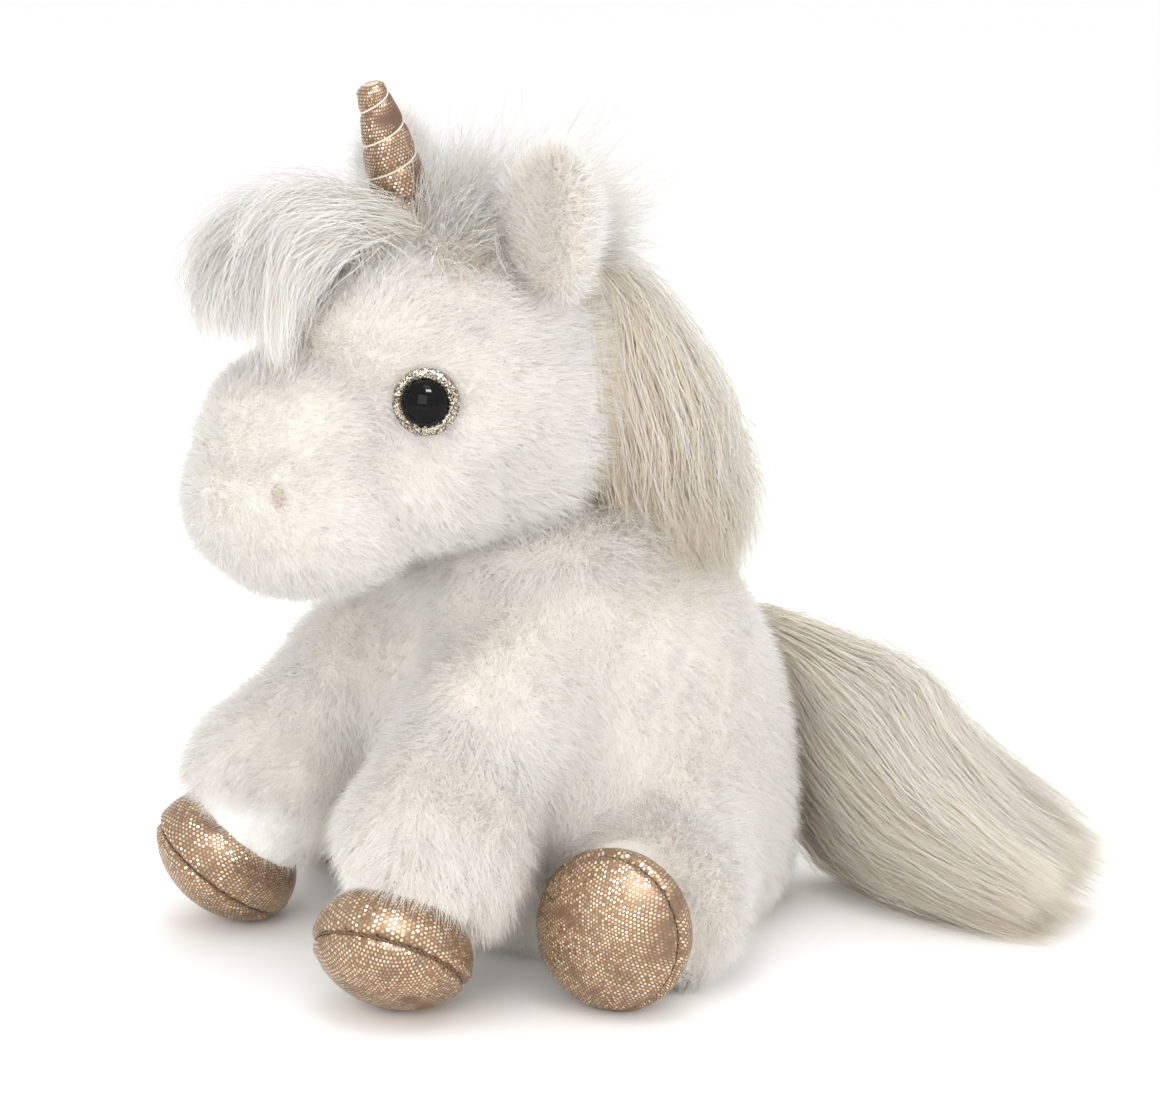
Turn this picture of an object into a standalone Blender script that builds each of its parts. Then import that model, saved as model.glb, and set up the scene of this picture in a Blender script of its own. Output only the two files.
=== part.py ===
"""A sitting plush unicorn, 240 mm tall: sewn covers over stuffing, foil hooves and horn, safety eyes, long hair.

The unicorn faces -Y, its left side is +X and it sits on the plane z = 0, with the origin under the torso.
"""

import math

import bmesh
import bpy
from mathutils import Matrix, Vector

# Fabric and clearances, in metres.
COVER = 0.0038
FOIL = 0.0012
GAP = 0.0004
SEAM = 0.0002
SEGMENTS = 14
ROOM = 0.0016
ROOM_SEGMENTS = 12

# Torso: height, radius and centre y of each level, from the seat up to the neck plane.
TORSO_LEVELS = (
    (0.0000, 0.0440, 0.0040),
    (0.0050, 0.0530, 0.0030),
    (0.0150, 0.0585, 0.0010),
    (0.0300, 0.0600, 0.0000),
    (0.0450, 0.0600, -0.0003),
    (0.0600, 0.0580, -0.0010),
    (0.0750, 0.0545, -0.0015),
    (0.0900, 0.0500, -0.0040),
    (0.1000, 0.0450, -0.0080),
)
SEAT_TOP = 0.0040
NECK_PLANE = 0.0980
BEAN_CENTRE = Vector((0.0, 0.0100, 0.0124))
BEAN_RADII = (0.0250, 0.0360, 0.0078)

# Neck: a ball in the head's socket, on a collar that turns on the torso.
NECK_PIVOT = Vector((0.0, -0.0180, 0.1180))
NECK_BALL = 0.0290
NECK_COLLAR = ((0.0365, 0.0000), (0.0345, 0.0035), (0.0300, 0.0080))
NECK_BALL_FOOT_DEG = -20
NECK_OPENING_DEG = 52
SOCKET_GAP = 0.0024

# Head: overlapping ellipsoids (centre, radii) that make up the skull, brow, jaw, nose bridge and muzzle.
HEAD_FORMS = (
    (Vector((0.0, -0.0400, 0.1590)), Vector((0.0450, 0.0480, 0.0455))),
    (Vector((0.0, -0.0605, 0.1700)), Vector((0.0340, 0.0320, 0.0300))),
    (Vector((0.0, -0.0600, 0.1380)), Vector((0.0400, 0.0340, 0.0260))),
    (Vector((0.0, -0.0840, 0.1460)), Vector((0.0270, 0.0330, 0.0270))),
    (Vector((0.0, -0.0860, 0.1310)), Vector((0.0325, 0.0345, 0.0280))),
)
GUSSET_HALF = 0.0120
CHIN_TOP = 0.1230
CHIN_BACK = -0.0400

# Eyes: a domed button on a shank, a glitter ring behind it and a lock washer inside the cover.
EYE_CENTRE = Vector((0.0352, -0.0700, 0.1600))
EYE_NORMAL = Vector((0.771, -0.630, 0.090)).normalized()
EYE_RADIUS = 0.0060
EYE_DOME_HEIGHT = 0.0040
EYE_RING_RADIUS = 0.0090
EYE_RING_TOP = 0.0016
EYE_RING_THICK = 0.0010
SHANK_RADIUS = 0.0018
SHANK_LENGTH = 0.0105
WASHER_RADIUS = 0.0058
WASHER_THICK = 0.0012
WASHER_DEPTH = 0.0062

NOSTRIL_CENTRE = Vector((0.0236, -0.1084, 0.1376))
NOSTRIL_NORMAL = Vector((0.70, -0.70, 0.18)).normalized()
NOSTRIL_RADII = (0.0008, 0.0013, 0.0030)

# Horn: axis from the forehead to the rounded tip, and radii at shares of its length.
HORN_BASE = Vector((0.0, -0.0535, 0.1990))
HORN_TIP = Vector((0.0, -0.0650, 0.2385))
HORN_RADII = ((0.00, 0.0080), (0.28, 0.0078), (0.55, 0.0069), (0.80, 0.0052), (0.93, 0.0040), (1.00, 0.0018))
HORN_TIP_LEAST = 0.0006
THREAD_RADIUS = 0.0004
THREAD_TURNS = 3.25
THREAD_STEPS = 44
THREAD_START = 0.24
THREAD_END = 0.94

# Ears: leaf of elliptical rings along the axis from base to tip.
EAR_BASE = Vector((0.0355, -0.0350, 0.1895))
EAR_TIP = Vector((0.0430, -0.0345, 0.2215))
EAR_OPENING = Vector((0.15, -0.99, 0.0)).normalized()
EAR_RINGS = ((0.00, 0.0105, 0.0030), (0.20, 0.0140, 0.0036), (0.50, 0.0150, 0.0036), (0.80, 0.0118, 0.0030),
             (1.00, 0.0040, 0.0014))
EAR_LINING_THICK = 0.0009
EAR_ROOM = 0.0025

# Hair: horizontal levels (height, half width, half depth, centre y) of the mane.
MANE_LEVELS = (
    (0.2060, 0.0150, 0.0130, -0.0200),
    (0.1940, 0.0210, 0.0210, -0.0200),
    (0.1740, 0.0320, 0.0330, -0.0120),
    (0.1500, 0.0340, 0.0370, 0.0000),
    (0.1300, 0.0330, 0.0360, 0.0050),
)
MANE_FRONT = -0.0215
LOWER_MANE_LEVELS = (
    (0.1165, 0.0280, 0.0330, 0.0110),
    (0.0986, 0.0290, 0.0360, 0.0120),
)
LOWER_MANE_FRONT = -0.0060
FORELOCK_POINTS = (
    (Vector((0.0, -0.0690, 0.2060)), 0.0160, 0.0060),
    (Vector((0.0, -0.0850, 0.2105)), 0.0210, 0.0075),
    (Vector((0.0, -0.0990, 0.2065)), 0.0215, 0.0080),
    (Vector((0.0, -0.1095, 0.1945)), 0.0185, 0.0070),
    (Vector((0.0, -0.1135, 0.1800)), 0.0110, 0.0045),
)
TAIL_POINTS = (
    (Vector((0.0030, 0.0655, 0.0660)), 0.0060, 0.0120),
    (Vector((0.0130, 0.0745, 0.0470)), 0.0100, 0.0260),
    (Vector((0.0360, 0.0830, 0.0328)), 0.0180, 0.0308),
    (Vector((0.0640, 0.0900, 0.0240)), 0.0220, 0.0230),
    (Vector((0.0880, 0.1030, 0.0150)), 0.0210, 0.0140),
)
TAIL_SIDE = Vector((0.6, -0.8, 0.0))
TAIL_PIVOT = Vector((0.0, 0.0600, 0.0520))

# Legs: pivot ball, hoof centre, sole normal and lift (degrees) that the torso leaves room for.
SHOULDER = Vector((0.0320, -0.0480, 0.0690))
SHOULDER_BALL = 0.0242
FRONT_HOOF = Vector((0.0460, -0.0880, 0.0180))
FRONT_SOLE = Vector((0.32, -0.53, -0.79)).normalized()
FRONT_HOOF_RADII = (0.0214, 0.0154)
FRONT_ANKLE = (0.0275, 0.0240, 0.0185)
FRONT_LIFT = 25
HIP = Vector((0.0470, -0.0040, 0.0310))
HIP_BALL = 0.0265
HIND_HOOF = Vector((0.0740, -0.0370, 0.0217))
HIND_SOLE = Vector((0.50, -0.86, 0.08)).normalized()
HIND_HOOF_RADII = (0.0216, 0.0146)
HIND_ANKLE = (0.0205, 0.0226, 0.0186)
HIND_LIFT = 20
CUFF_SHIFT = 0.0040
SOLE_SEAM = 0.25
FLOOR_RELIEF = 0.0002
FAR = 0.3
SIDES = ("left", "right")
LEGS = {
    "front": {"pivot": SHOULDER, "ball": SHOULDER_BALL, "hoof": FRONT_HOOF, "sole": FRONT_SOLE,
              "hoof_radii": FRONT_HOOF_RADII, "ankle": FRONT_ANKLE, "lift": FRONT_LIFT},
    "hind": {"pivot": HIP, "ball": HIP_BALL, "hoof": HIND_HOOF, "sole": HIND_SOLE,
             "hoof_radii": HIND_HOOF_RADII, "ankle": HIND_ANKLE, "lift": HIND_LIFT},
}

WHITE = (0.93, 0.91, 0.88, 1.0)
CREAM = (0.90, 0.86, 0.76, 1.0)
FILL = (0.97, 0.97, 0.97, 1.0)
GOLD = (0.72, 0.55, 0.42, 1.0)
BEIGE = (0.78, 0.70, 0.62, 1.0)
BLACK = (0.01, 0.01, 0.01, 1.0)
SILVER = (0.66, 0.62, 0.55, 1.0)


def clear_scene():
    for obj in list(bpy.data.objects):
        bpy.data.objects.remove(obj, do_unlink=True)


def new_collection(name):
    collection = bpy.data.collections.new(name)
    bpy.context.scene.collection.children.link(collection)
    return collection


clear_scene()
PARTS = new_collection("plush_unicorn")
CUTTERS = new_collection("cutters")


def new_material(name, colour, roughness, metallic=0.0):
    material = bpy.data.materials.new(name)
    material.use_nodes = True
    shader = material.node_tree.nodes["Principled BSDF"]
    shader.inputs["Base Color"].default_value = colour
    shader.inputs["Roughness"].default_value = roughness
    shader.inputs["Metallic"].default_value = metallic
    return material


def add_tool(data):
    """A new shape among the cutters; finish() names it and moves it to the parts."""
    obj = bpy.data.objects.new("tool", data)
    CUTTERS.objects.link(obj)
    obj.hide_render = True
    obj.display_type = "WIRE"
    return obj


def tool_from(bm):
    bmesh.ops.recalc_face_normals(bm, faces=bm.faces)
    mesh = bpy.data.meshes.new("tool")
    bm.to_mesh(mesh)
    bm.free()
    return add_tool(mesh)


def ellipsoid(centre, radii, axis=Vector((0.0, 0.0, 1.0)), segments=SEGMENTS, rings=8):
    """An ellipsoid whose third radius lies along axis."""
    bm = bmesh.new()
    bmesh.ops.create_uvsphere(bm, u_segments=segments, v_segments=rings, radius=1.0)
    turn = axis.to_track_quat("Z", "Y").to_matrix().to_4x4()
    place = Matrix.Translation(centre) @ turn @ Matrix.Diagonal((*radii, 1.0))
    bmesh.ops.transform(bm, matrix=place, verts=bm.verts)
    return tool_from(bm)


def box(low, high):
    """A box between two corners."""
    low = Vector(low)
    high = Vector(high)
    bm = bmesh.new()
    bmesh.ops.create_cube(bm, size=1.0)
    size = high - low
    place = Matrix.Translation((low + high) / 2) @ Matrix.Diagonal((*size, 1.0))
    bmesh.ops.transform(bm, matrix=place, verts=bm.verts)
    return tool_from(bm)


def loft(rings, segments=SEGMENTS):
    """A closed skin through elliptical rings, each given by its centre and two half-axis vectors."""
    bm = bmesh.new()
    angles = [2 * math.pi * i / segments for i in range(segments)]
    loops = []
    for centre, side, up in rings:
        loops.append([bm.verts.new(centre + side * math.cos(a) + up * math.sin(a)) for a in angles])
    for first, second in zip(loops, loops[1:]):
        for i in range(segments):
            j = (i + 1) % segments
            bm.faces.new((first[i], first[j], second[j], second[i]))
    bm.faces.new(loops[0])
    bm.faces.new(loops[-1])
    return tool_from(bm)


def turned(profile, place):
    """A solid turned about its own Z axis, then put in place. The profile runs down the outer side."""
    mesh = bpy.data.meshes.new("tool")
    edges = [(i, i + 1) for i in range(len(profile) - 1)]
    mesh.from_pydata([(radius, 0.0, height) for radius, height in profile], edges, [])
    obj = add_tool(mesh)
    screw = obj.modifiers.new("Turn", "SCREW")
    screw.steps = SEGMENTS
    screw.render_steps = SEGMENTS
    screw.use_merge_vertices = True
    screw.merge_threshold = 1e-6
    baked(obj)
    obj.data.transform(place)
    return obj


def hull_of(objects):
    """The convex hull of several tools."""
    bm = bmesh.new()
    for obj in objects:
        bm.from_mesh(obj.data)
    hull = bmesh.ops.convex_hull(bm, input=bm.verts)
    kept = {item for item in hull["geom"] if isinstance(item, bmesh.types.BMFace)}
    bmesh.ops.delete(bm, geom=[face for face in bm.faces if face not in kept], context="FACES")
    bmesh.ops.delete(bm, geom=[vert for vert in bm.verts if not vert.link_faces], context="VERTS")
    return tool_from(bm)


def baked(obj):
    """The object with its modifiers made real."""
    bpy.context.view_layer.update()
    graph = bpy.context.evaluated_depsgraph_get()
    mesh = bpy.data.meshes.new_from_object(obj.evaluated_get(graph))
    obj.modifiers.clear()
    obj.data = mesh
    return obj


def combine(obj, other, operation):
    modifier = obj.modifiers.new(operation.title(), "BOOLEAN")
    modifier.operation = operation
    modifier.solver = "EXACT"
    modifier.object = other
    return baked(obj)


def cut(obj, *tools):
    for tool in tools:
        combine(obj, tool, "DIFFERENCE")
    return obj


def keep_in(obj, tool):
    return combine(obj, tool, "INTERSECT")


def united(pieces):
    for piece in pieces[1:]:
        combine(pieces[0], piece, "UNION")
    return pieces[0]


def copy_of(obj, place=Matrix()):
    mesh = obj.data.copy()
    mesh.transform(place)
    return add_tool(mesh)


def mirrored(obj):
    """A copy on the other side of the x = 0 plane."""
    twin = copy_of(obj, Matrix.Diagonal((-1.0, 1.0, 1.0, 1.0)))
    twin.data.flip_normals()
    return twin


def mirrored_point(point):
    return Vector((-point.x, point.y, point.z))


def finish(obj, name, material, origin=Vector()):
    """Makes a tool into a named part, with its origin on its joint."""
    obj.name = name
    obj.data.name = name
    obj.data.transform(Matrix.Translation(-origin))
    obj.location = origin
    obj.data.materials.clear()
    obj.data.materials.append(material)
    obj.data.shade_smooth()
    obj.data.set_sharp_from_angle(angle=math.radians(35))
    CUTTERS.objects.unlink(obj)
    PARTS.objects.link(obj)
    obj.hide_render = False
    obj.display_type = "TEXTURED"


def finish_pair(obj, name, material, origin):
    """Makes a left part and its mirrored right twin; name holds {} for the side."""
    finish(mirrored(obj), name.format("right"), material, mirrored_point(origin))
    finish(obj, name.format("left"), material, origin)


def about(pivot, turn):
    return Matrix.Translation(pivot) @ turn @ Matrix.Translation(-pivot)


def rings_along(stations, reference):
    """Rings across a path of (point, half width, half height) stations; reference marks the side axis."""
    rings = []
    points = [station[0] for station in stations]
    for i, (point, width, height) in enumerate(stations):
        tangent = (points[min(i + 1, len(points) - 1)] - points[max(i - 1, 0)]).normalized()
        side = (reference - tangent * reference.dot(tangent)).normalized()
        rings.append((point, side * width, tangent.cross(side) * height))
    return rings


def turn_to(axis):
    return axis.to_track_quat("Z", "Y").to_matrix().to_4x4()


# ---- Legs ----


def leg_form(leg, inset, segments=SEGMENTS):
    """The leg from the inner end of its pivot ball down to the middle of its hoof."""
    ball = leg["ball"] - inset
    ankle_back, ankle_radius, end_radius = leg["ankle"]
    ankle = leg["hoof"] - leg["sole"] * ankle_back
    start = (ankle - leg["pivot"]).normalized()
    stations = []
    for degrees in (-82, -60, -38, -18, 0):
        angle = math.radians(degrees)
        stations.append((leg["pivot"] + start * ball * math.sin(angle), ball * math.cos(angle)))
    middle = leg["pivot"].lerp(ankle, 0.62)
    stations.append((middle, (ball + ankle_radius - inset) / 2))
    stations.append((ankle + leg["sole"] * CUFF_SHIFT, ankle_radius - inset))
    stations.append((leg["hoof"] + leg["sole"] * inset, end_radius - inset))
    rings = rings_along([(point, radius, radius) for point, radius in stations], Vector((0.0, 0.0, 1.0)))
    return loft(rings, segments)


def lift_axis(leg):
    """Horizontal axis across the left leg, about which a positive turn lifts the hoof."""
    reach = leg["hoof"] - leg["pivot"]
    return Vector((reach.x, reach.y, 0.0)).normalized().cross(Vector((0.0, 0.0, 1.0)))


def leg_room(leg):
    """The space that the left leg takes in the torso through its whole lift."""
    reach = leg["ball"] + ROOM
    low = leg_form(leg, -ROOM, ROOM_SEGMENTS)
    turn = Matrix.Rotation(math.radians(leg["lift"]), 4, lift_axis(leg))
    high = copy_of(low, about(leg["pivot"], turn))
    ball = ellipsoid(leg["pivot"], (reach, reach, reach), leg["sole"], ROOM_SEGMENTS, 10)
    return hull_of([low, high, ball])


def hoof_form(leg, inset):
    across, along = leg["hoof_radii"]
    return ellipsoid(leg["hoof"], (across - inset, across - inset, along - inset), leg["sole"])


def sole_side(leg, shift):
    """A large slab on the sole's side of the seam, square to the sole."""
    seam = leg["hoof"] + leg["sole"] * (leg["hoof_radii"][1] * SOLE_SEAM + shift)
    slab = box((-FAR, -FAR, 0.0), (FAR, FAR, FAR))
    slab.data.transform(Matrix.Translation(seam) @ turn_to(leg["sole"]))
    return slab


def build_legs(fabric, foil, filling):
    floor = box((-FAR, -FAR, -FAR), (FAR, FAR, FLOOR_RELIEF))
    for end, leg in LEGS.items():
        pivot = leg["pivot"]
        cover = cut(leg_form(leg, 0.0), leg_form(leg, COVER), hoof_form(leg, -GAP), floor)
        stuffing = cut(leg_form(leg, COVER + 2 * GAP), hoof_form(leg, -GAP))
        upper = cut(hoof_form(leg, 0.0), hoof_form(leg, FOIL))
        sole = keep_in(copy_of(upper), sole_side(leg, SEAM))
        cut(upper, sole_side(leg, -SEAM))
        finish_pair(cover, end + "_{}_leg_cover", fabric, pivot)
        finish_pair(stuffing, end + "_{}_leg_stuffing", filling, pivot)
        finish_pair(upper, end + "_{}_hoof_upper", foil, pivot)
        finish_pair(sole, end + "_{}_hoof_sole", foil, pivot)
        finish_pair(hoof_form(leg, FOIL + GAP), end + "_{}_hoof_stuffing", filling, pivot)


# ---- Torso ----


def torso_form(inset):
    rings = []
    for height, radius, centre_y in TORSO_LEVELS:
        reach = radius - inset
        rings.append((Vector((0.0, centre_y, height)), Vector((reach, 0, 0)), Vector((0, reach, 0))))
    return loft(rings, 2 * ROOM_SEGMENTS)


def build_torso(fabric, filling, pouch):
    rooms = [leg_room(leg) for leg in LEGS.values()]
    above_neck = box((-FAR, -FAR, NECK_PLANE - GAP), (FAR, FAR, FAR))
    below_seat = box((-FAR, -FAR, -FAR), (FAR, FAR, SEAT_TOP + GAP))
    right_side = box((-FAR, -FAR, -FAR), (SEAM, FAR, FAR))
    cover = cut(torso_form(0.0), torso_form(COVER), above_neck, below_seat, right_side, *rooms)
    finish_pair(cover, "body_cover_{}", fabric, Vector())
    rooms += [mirrored(room) for room in rooms]
    seat = keep_in(torso_form(0.0), box((-FAR, -FAR, -FAR), (FAR, FAR, SEAT_TOP)))
    finish(cut(seat, *rooms), "seat_panel", fabric)
    pocket = ellipsoid(BEAN_CENTRE, [radius + GAP for radius in BEAN_RADII])
    stuffing = cut(torso_form(COVER + GAP), above_neck, below_seat, *rooms, pocket)
    finish(stuffing, "body_stuffing", filling)
    finish(ellipsoid(BEAN_CENTRE, BEAN_RADII), "bean_bag", pouch)


# ---- Neck ----


def neck_profile(inset, top_degrees):
    """The neck's outer side, from the top of its ball down to the collar's foot, about NECK_PIVOT."""
    steps = 7
    ball = NECK_BALL - inset
    profile = []
    for i in range(steps + 1):
        angle = math.radians(top_degrees + (NECK_BALL_FOOT_DEG - top_degrees) * i / steps)
        profile.append((ball * math.cos(angle), ball * math.sin(angle)))
    for radius, height in reversed(NECK_COLLAR):
        profile.append((radius - inset, NECK_PLANE + height - NECK_PIVOT.z))
    return profile


def closed_profile(profile):
    """The profile with its top and its foot run in to the axis."""
    return [(0.0, profile[0][1])] + profile[1:] + [(0.0, profile[-1][1])]


def build_neck(fabric, filling):
    place = Matrix.Translation(NECK_PIVOT)
    inner = neck_profile(COVER, NECK_OPENING_DEG + 4)
    outer = neck_profile(0.0, NECK_OPENING_DEG)
    finish(turned(outer + inner[::-1] + outer[:1], place), "neck_cover", fabric, NECK_PIVOT)
    stuffing = turned(closed_profile(neck_profile(COVER + GAP, 90)), place)
    finish(stuffing, "neck_stuffing", filling, NECK_PIVOT)


def neck_room():
    """The neck's whole space, carried down past its foot."""
    outer = neck_profile(-GAP, 90)
    outer.append((outer[-1][0], outer[-1][1] - ROOM))
    return turned(closed_profile(outer), Matrix.Translation(NECK_PIVOT))


def neck_socket():
    reach = NECK_BALL + SOCKET_GAP
    return ellipsoid(NECK_PIVOT, (reach, reach, reach))


# ---- Head ----


def head_form(inset):
    return united([ellipsoid(centre, [radius - inset for radius in radii]) for centre, radii in HEAD_FORMS])


def eye_place(side):
    """A frame on the cover's surface at the eye's middle, with +Z pointing out."""
    centre = EYE_CENTRE if side == "left" else mirrored_point(EYE_CENTRE)
    normal = EYE_NORMAL if side == "left" else mirrored_point(EYE_NORMAL)
    return Matrix.Translation(centre) @ turn_to(normal)


def eye_rod(radius, bottom, side):
    """A rod along the eye's axis, from bottom out past the cover."""
    return turned([(0.0, 0.01), (radius, 0.01), (radius, bottom), (0.0, bottom)], eye_place(side))


def build_head(fabric, filling, thread):
    holes = [eye_rod(SHANK_RADIUS + GAP, -0.02, side) for side in SIDES]
    shell = cut(head_form(0.0), head_form(COVER), neck_socket(), *holes)
    cover = cut(copy_of(shell), box((-FAR, -FAR, -FAR), (GUSSET_HALF + SEAM, FAR, FAR)))
    finish(mirrored(cover), "head_cover_right", fabric, NECK_PIVOT)
    finish(cover, "head_cover_left", fabric, NECK_PIVOT)

    strip_half = GUSSET_HALF - SEAM
    gusset = keep_in(shell, box((-strip_half, -FAR, -FAR), (strip_half, FAR, FAR)))
    chin = keep_in(copy_of(gusset), box((-FAR, -FAR, -FAR), (FAR, CHIN_BACK, CHIN_TOP)))
    finish(chin, "chin_panel", fabric, NECK_PIVOT)
    cut(gusset, box((-FAR, -FAR, -FAR), (FAR, CHIN_BACK + GAP, CHIN_TOP + GAP)))
    finish(gusset, "head_gusset", fabric, NECK_PIVOT)

    pockets = [eye_rod(WASHER_RADIUS + GAP, -0.012, side) for side in SIDES]
    stuffing = cut(head_form(COVER + GAP), neck_socket(), *pockets)
    finish(stuffing, "head_stuffing", filling, NECK_PIVOT)

    stitch = ellipsoid(NOSTRIL_CENTRE, NOSTRIL_RADII, segments=10, rings=6)
    turn = NOSTRIL_NORMAL.to_track_quat("X", "Z").to_matrix().to_4x4()
    stitch.data.transform(about(NOSTRIL_CENTRE, turn))
    finish(mirrored(stitch), "nostril_stitch_right", thread, NECK_PIVOT)
    finish(stitch, "nostril_stitch_left", thread, NECK_PIVOT)


def build_eyes(gloss, glitter, washer_plastic):
    dome_foot = EYE_RING_TOP + GAP
    rim = dome_foot + 0.0004
    button = []
    for degrees in range(90, -1, -15):
        angle = math.radians(degrees)
        button.append((EYE_RADIUS * math.cos(angle), rim + EYE_DOME_HEIGHT * math.sin(angle)))
    button[0] = (0.0, button[0][1])
    button += [(EYE_RADIUS, dome_foot), (SHANK_RADIUS, dome_foot), (SHANK_RADIUS, -SHANK_LENGTH)]
    button.append((0.0, -SHANK_LENGTH))
    ring = washer_profile(EYE_RING_RADIUS, EYE_RING_TOP, EYE_RING_THICK)
    washer = washer_profile(WASHER_RADIUS, -WASHER_DEPTH, WASHER_THICK)
    for side in SIDES:
        place = eye_place(side)
        finish(turned(button, place), "eye_button_" + side, gloss, NECK_PIVOT)
        finish(turned(ring, place), "eye_ring_" + side, glitter, NECK_PIVOT)
        finish(turned(washer, place), "eye_washer_" + side, washer_plastic, NECK_PIVOT)


def washer_profile(radius, top, thick):
    hole = SHANK_RADIUS + GAP
    return [(hole, top), (radius, top), (radius, top - thick), (hole, top - thick), (hole, top)]


# ---- Horn ----


def horn_form(inset, length_share=1.0):
    axis = (HORN_TIP - HORN_BASE) * length_share
    stations = []
    for share, radius in HORN_RADII:
        reduced = max(radius - inset, HORN_TIP_LEAST)
        stations.append((HORN_BASE + axis * share, reduced, reduced))
    return loft(rings_along(stations, Vector((1.0, 0.0, 0.0))))


def horn_radius(share):
    for (first, radius), (second, following) in zip(HORN_RADII, HORN_RADII[1:]):
        if share <= second:
            return radius + (following - radius) * (share - first) / (second - first)
    return HORN_RADII[-1][1]


def build_horn(foil, filling, thread):
    skull = head_form(-GAP)
    cover = cut(horn_form(0.0), horn_form(FOIL, 0.97), skull)
    finish(cover, "horn_cover", foil, NECK_PIVOT)
    finish(cut(horn_form(FOIL + GAP, 0.94), skull), "horn_stuffing", filling, NECK_PIVOT)
    finish(spiral_thread(), "horn_thread", thread, NECK_PIVOT)


def spiral_thread():
    """The cord wound up the horn, as a closed mesh tube."""
    axis = HORN_TIP - HORN_BASE
    side = Vector((1.0, 0.0, 0.0))
    front = axis.normalized().cross(side)
    curve = bpy.data.curves.new("thread_path", "CURVE")
    curve.dimensions = "3D"
    curve.bevel_depth = THREAD_RADIUS
    curve.bevel_resolution = 1
    curve.use_fill_caps = True
    spline = curve.splines.new("POLY")
    spline.points.add(THREAD_STEPS)
    for i, point in enumerate(spline.points):
        share = THREAD_START + (THREAD_END - THREAD_START) * i / THREAD_STEPS
        angle = 2 * math.pi * THREAD_TURNS * i / THREAD_STEPS
        reach = horn_radius(share) + THREAD_RADIUS + GAP
        place = HORN_BASE + axis * share + (side * math.cos(angle) + front * math.sin(angle)) * reach
        point.co = (*place, 1.0)
    path = add_tool(curve)
    bpy.context.view_layer.update()
    graph = bpy.context.evaluated_depsgraph_get()
    bm = bmesh.new()
    bm.from_mesh(bpy.data.meshes.new_from_object(path.evaluated_get(graph)))
    bmesh.ops.remove_doubles(bm, verts=bm.verts, dist=1e-6)
    bpy.data.objects.remove(path, do_unlink=True)
    return tool_from(bm)


# ---- Ears ----


def ear_form(offset, thickness=None):
    """The ear's leaf, or with a thickness the thinner leaf that lies offset thicknesses in front of it."""
    axis = EAR_TIP - EAR_BASE
    stations = []
    for share, width, thick in EAR_RINGS:
        half = thick if thickness is None else thickness
        stations.append((EAR_BASE + axis * share + EAR_OPENING * offset * (thick + half), width, half))
    return loft(rings_along(stations, EAR_OPENING.cross(axis).normalized()))


def build_ears(fabric):
    back = ear_form(0.0)
    lining = ear_form(1.0, EAR_LINING_THICK)
    lining.data.transform(Matrix.Translation(EAR_OPENING * GAP))
    skull = head_form(-EAR_ROOM)
    finish_pair(cut(back, skull), "ear_back_{}", fabric, EAR_BASE)
    finish_pair(cut(lining, skull), "ear_lining_{}", fabric, EAR_BASE)


# ---- Hair ----


def level_rings(levels):
    rings = []
    for height, width, depth, centre_y in levels:
        rings.append((Vector((0.0, centre_y, height)), Vector((width, 0, 0)), Vector((0, depth, 0))))
    return rings


def build_hair(hair):
    mane = loft(level_rings(MANE_LEVELS))
    cut(mane, head_form(-GAP), neck_socket(), box((-FAR, -FAR, -FAR), (FAR, MANE_FRONT, FAR)))
    finish(mane, "mane_hair_upper", hair, NECK_PIVOT)

    lower = loft(level_rings(LOWER_MANE_LEVELS))
    cut(lower, neck_room(), box((-FAR, -FAR, -FAR), (FAR, LOWER_MANE_FRONT, FAR)))
    finish(lower, "mane_hair_lower", hair, NECK_PIVOT)

    forelock = loft(rings_along(FORELOCK_POINTS, Vector((1.0, 0.0, 0.0))))
    cut(forelock, head_form(-GAP), horn_form(-ROOM))
    finish(forelock, "forelock_hair", hair, NECK_PIVOT)

    tail = loft(rings_along(TAIL_POINTS, TAIL_SIDE))
    cut(tail, box((-FAR, -FAR, -FAR), (FAR, FAR, FLOOR_RELIEF)))
    finish(tail, "tail_hair", hair, TAIL_PIVOT)


def build():
    fabric = new_material("white_plush", WHITE, 0.95)
    filling = new_material("polyester_filling", FILL, 1.0)
    pouch = new_material("bean_pouch", BEIGE, 0.9)
    foil = new_material("gold_foil_fabric", GOLD, 0.35, 0.8)
    hair = new_material("cream_hair", CREAM, 0.8)
    thread = new_material("thread", BEIGE, 0.7)
    gloss = new_material("eye_black", BLACK, 0.05)
    glitter = new_material("eye_glitter", SILVER, 0.3, 0.9)
    washer = new_material("washer_plastic", FILL, 0.5)
    build_torso(fabric, filling, pouch)
    build_neck(fabric, filling)
    build_head(fabric, filling, thread)
    build_eyes(gloss, glitter, washer)
    build_horn(foil, filling, thread)
    build_ears(fabric)
    build_hair(hair)
    build_legs(fabric, foil, filling)


build()
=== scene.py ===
"""Looks of the sitting plush unicorn: backing cloth, pile, hair, foil hooves and horn, and safety eyes.

Everything is in metres in the CAD's frame: the unicorn faces -Y, its left side is +X, and it sits on z = 0.
"""

import math

import bmesh
import bpy
import numpy as np
from mathutils import Matrix, Vector
from mathutils.kdtree import KDTree


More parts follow.
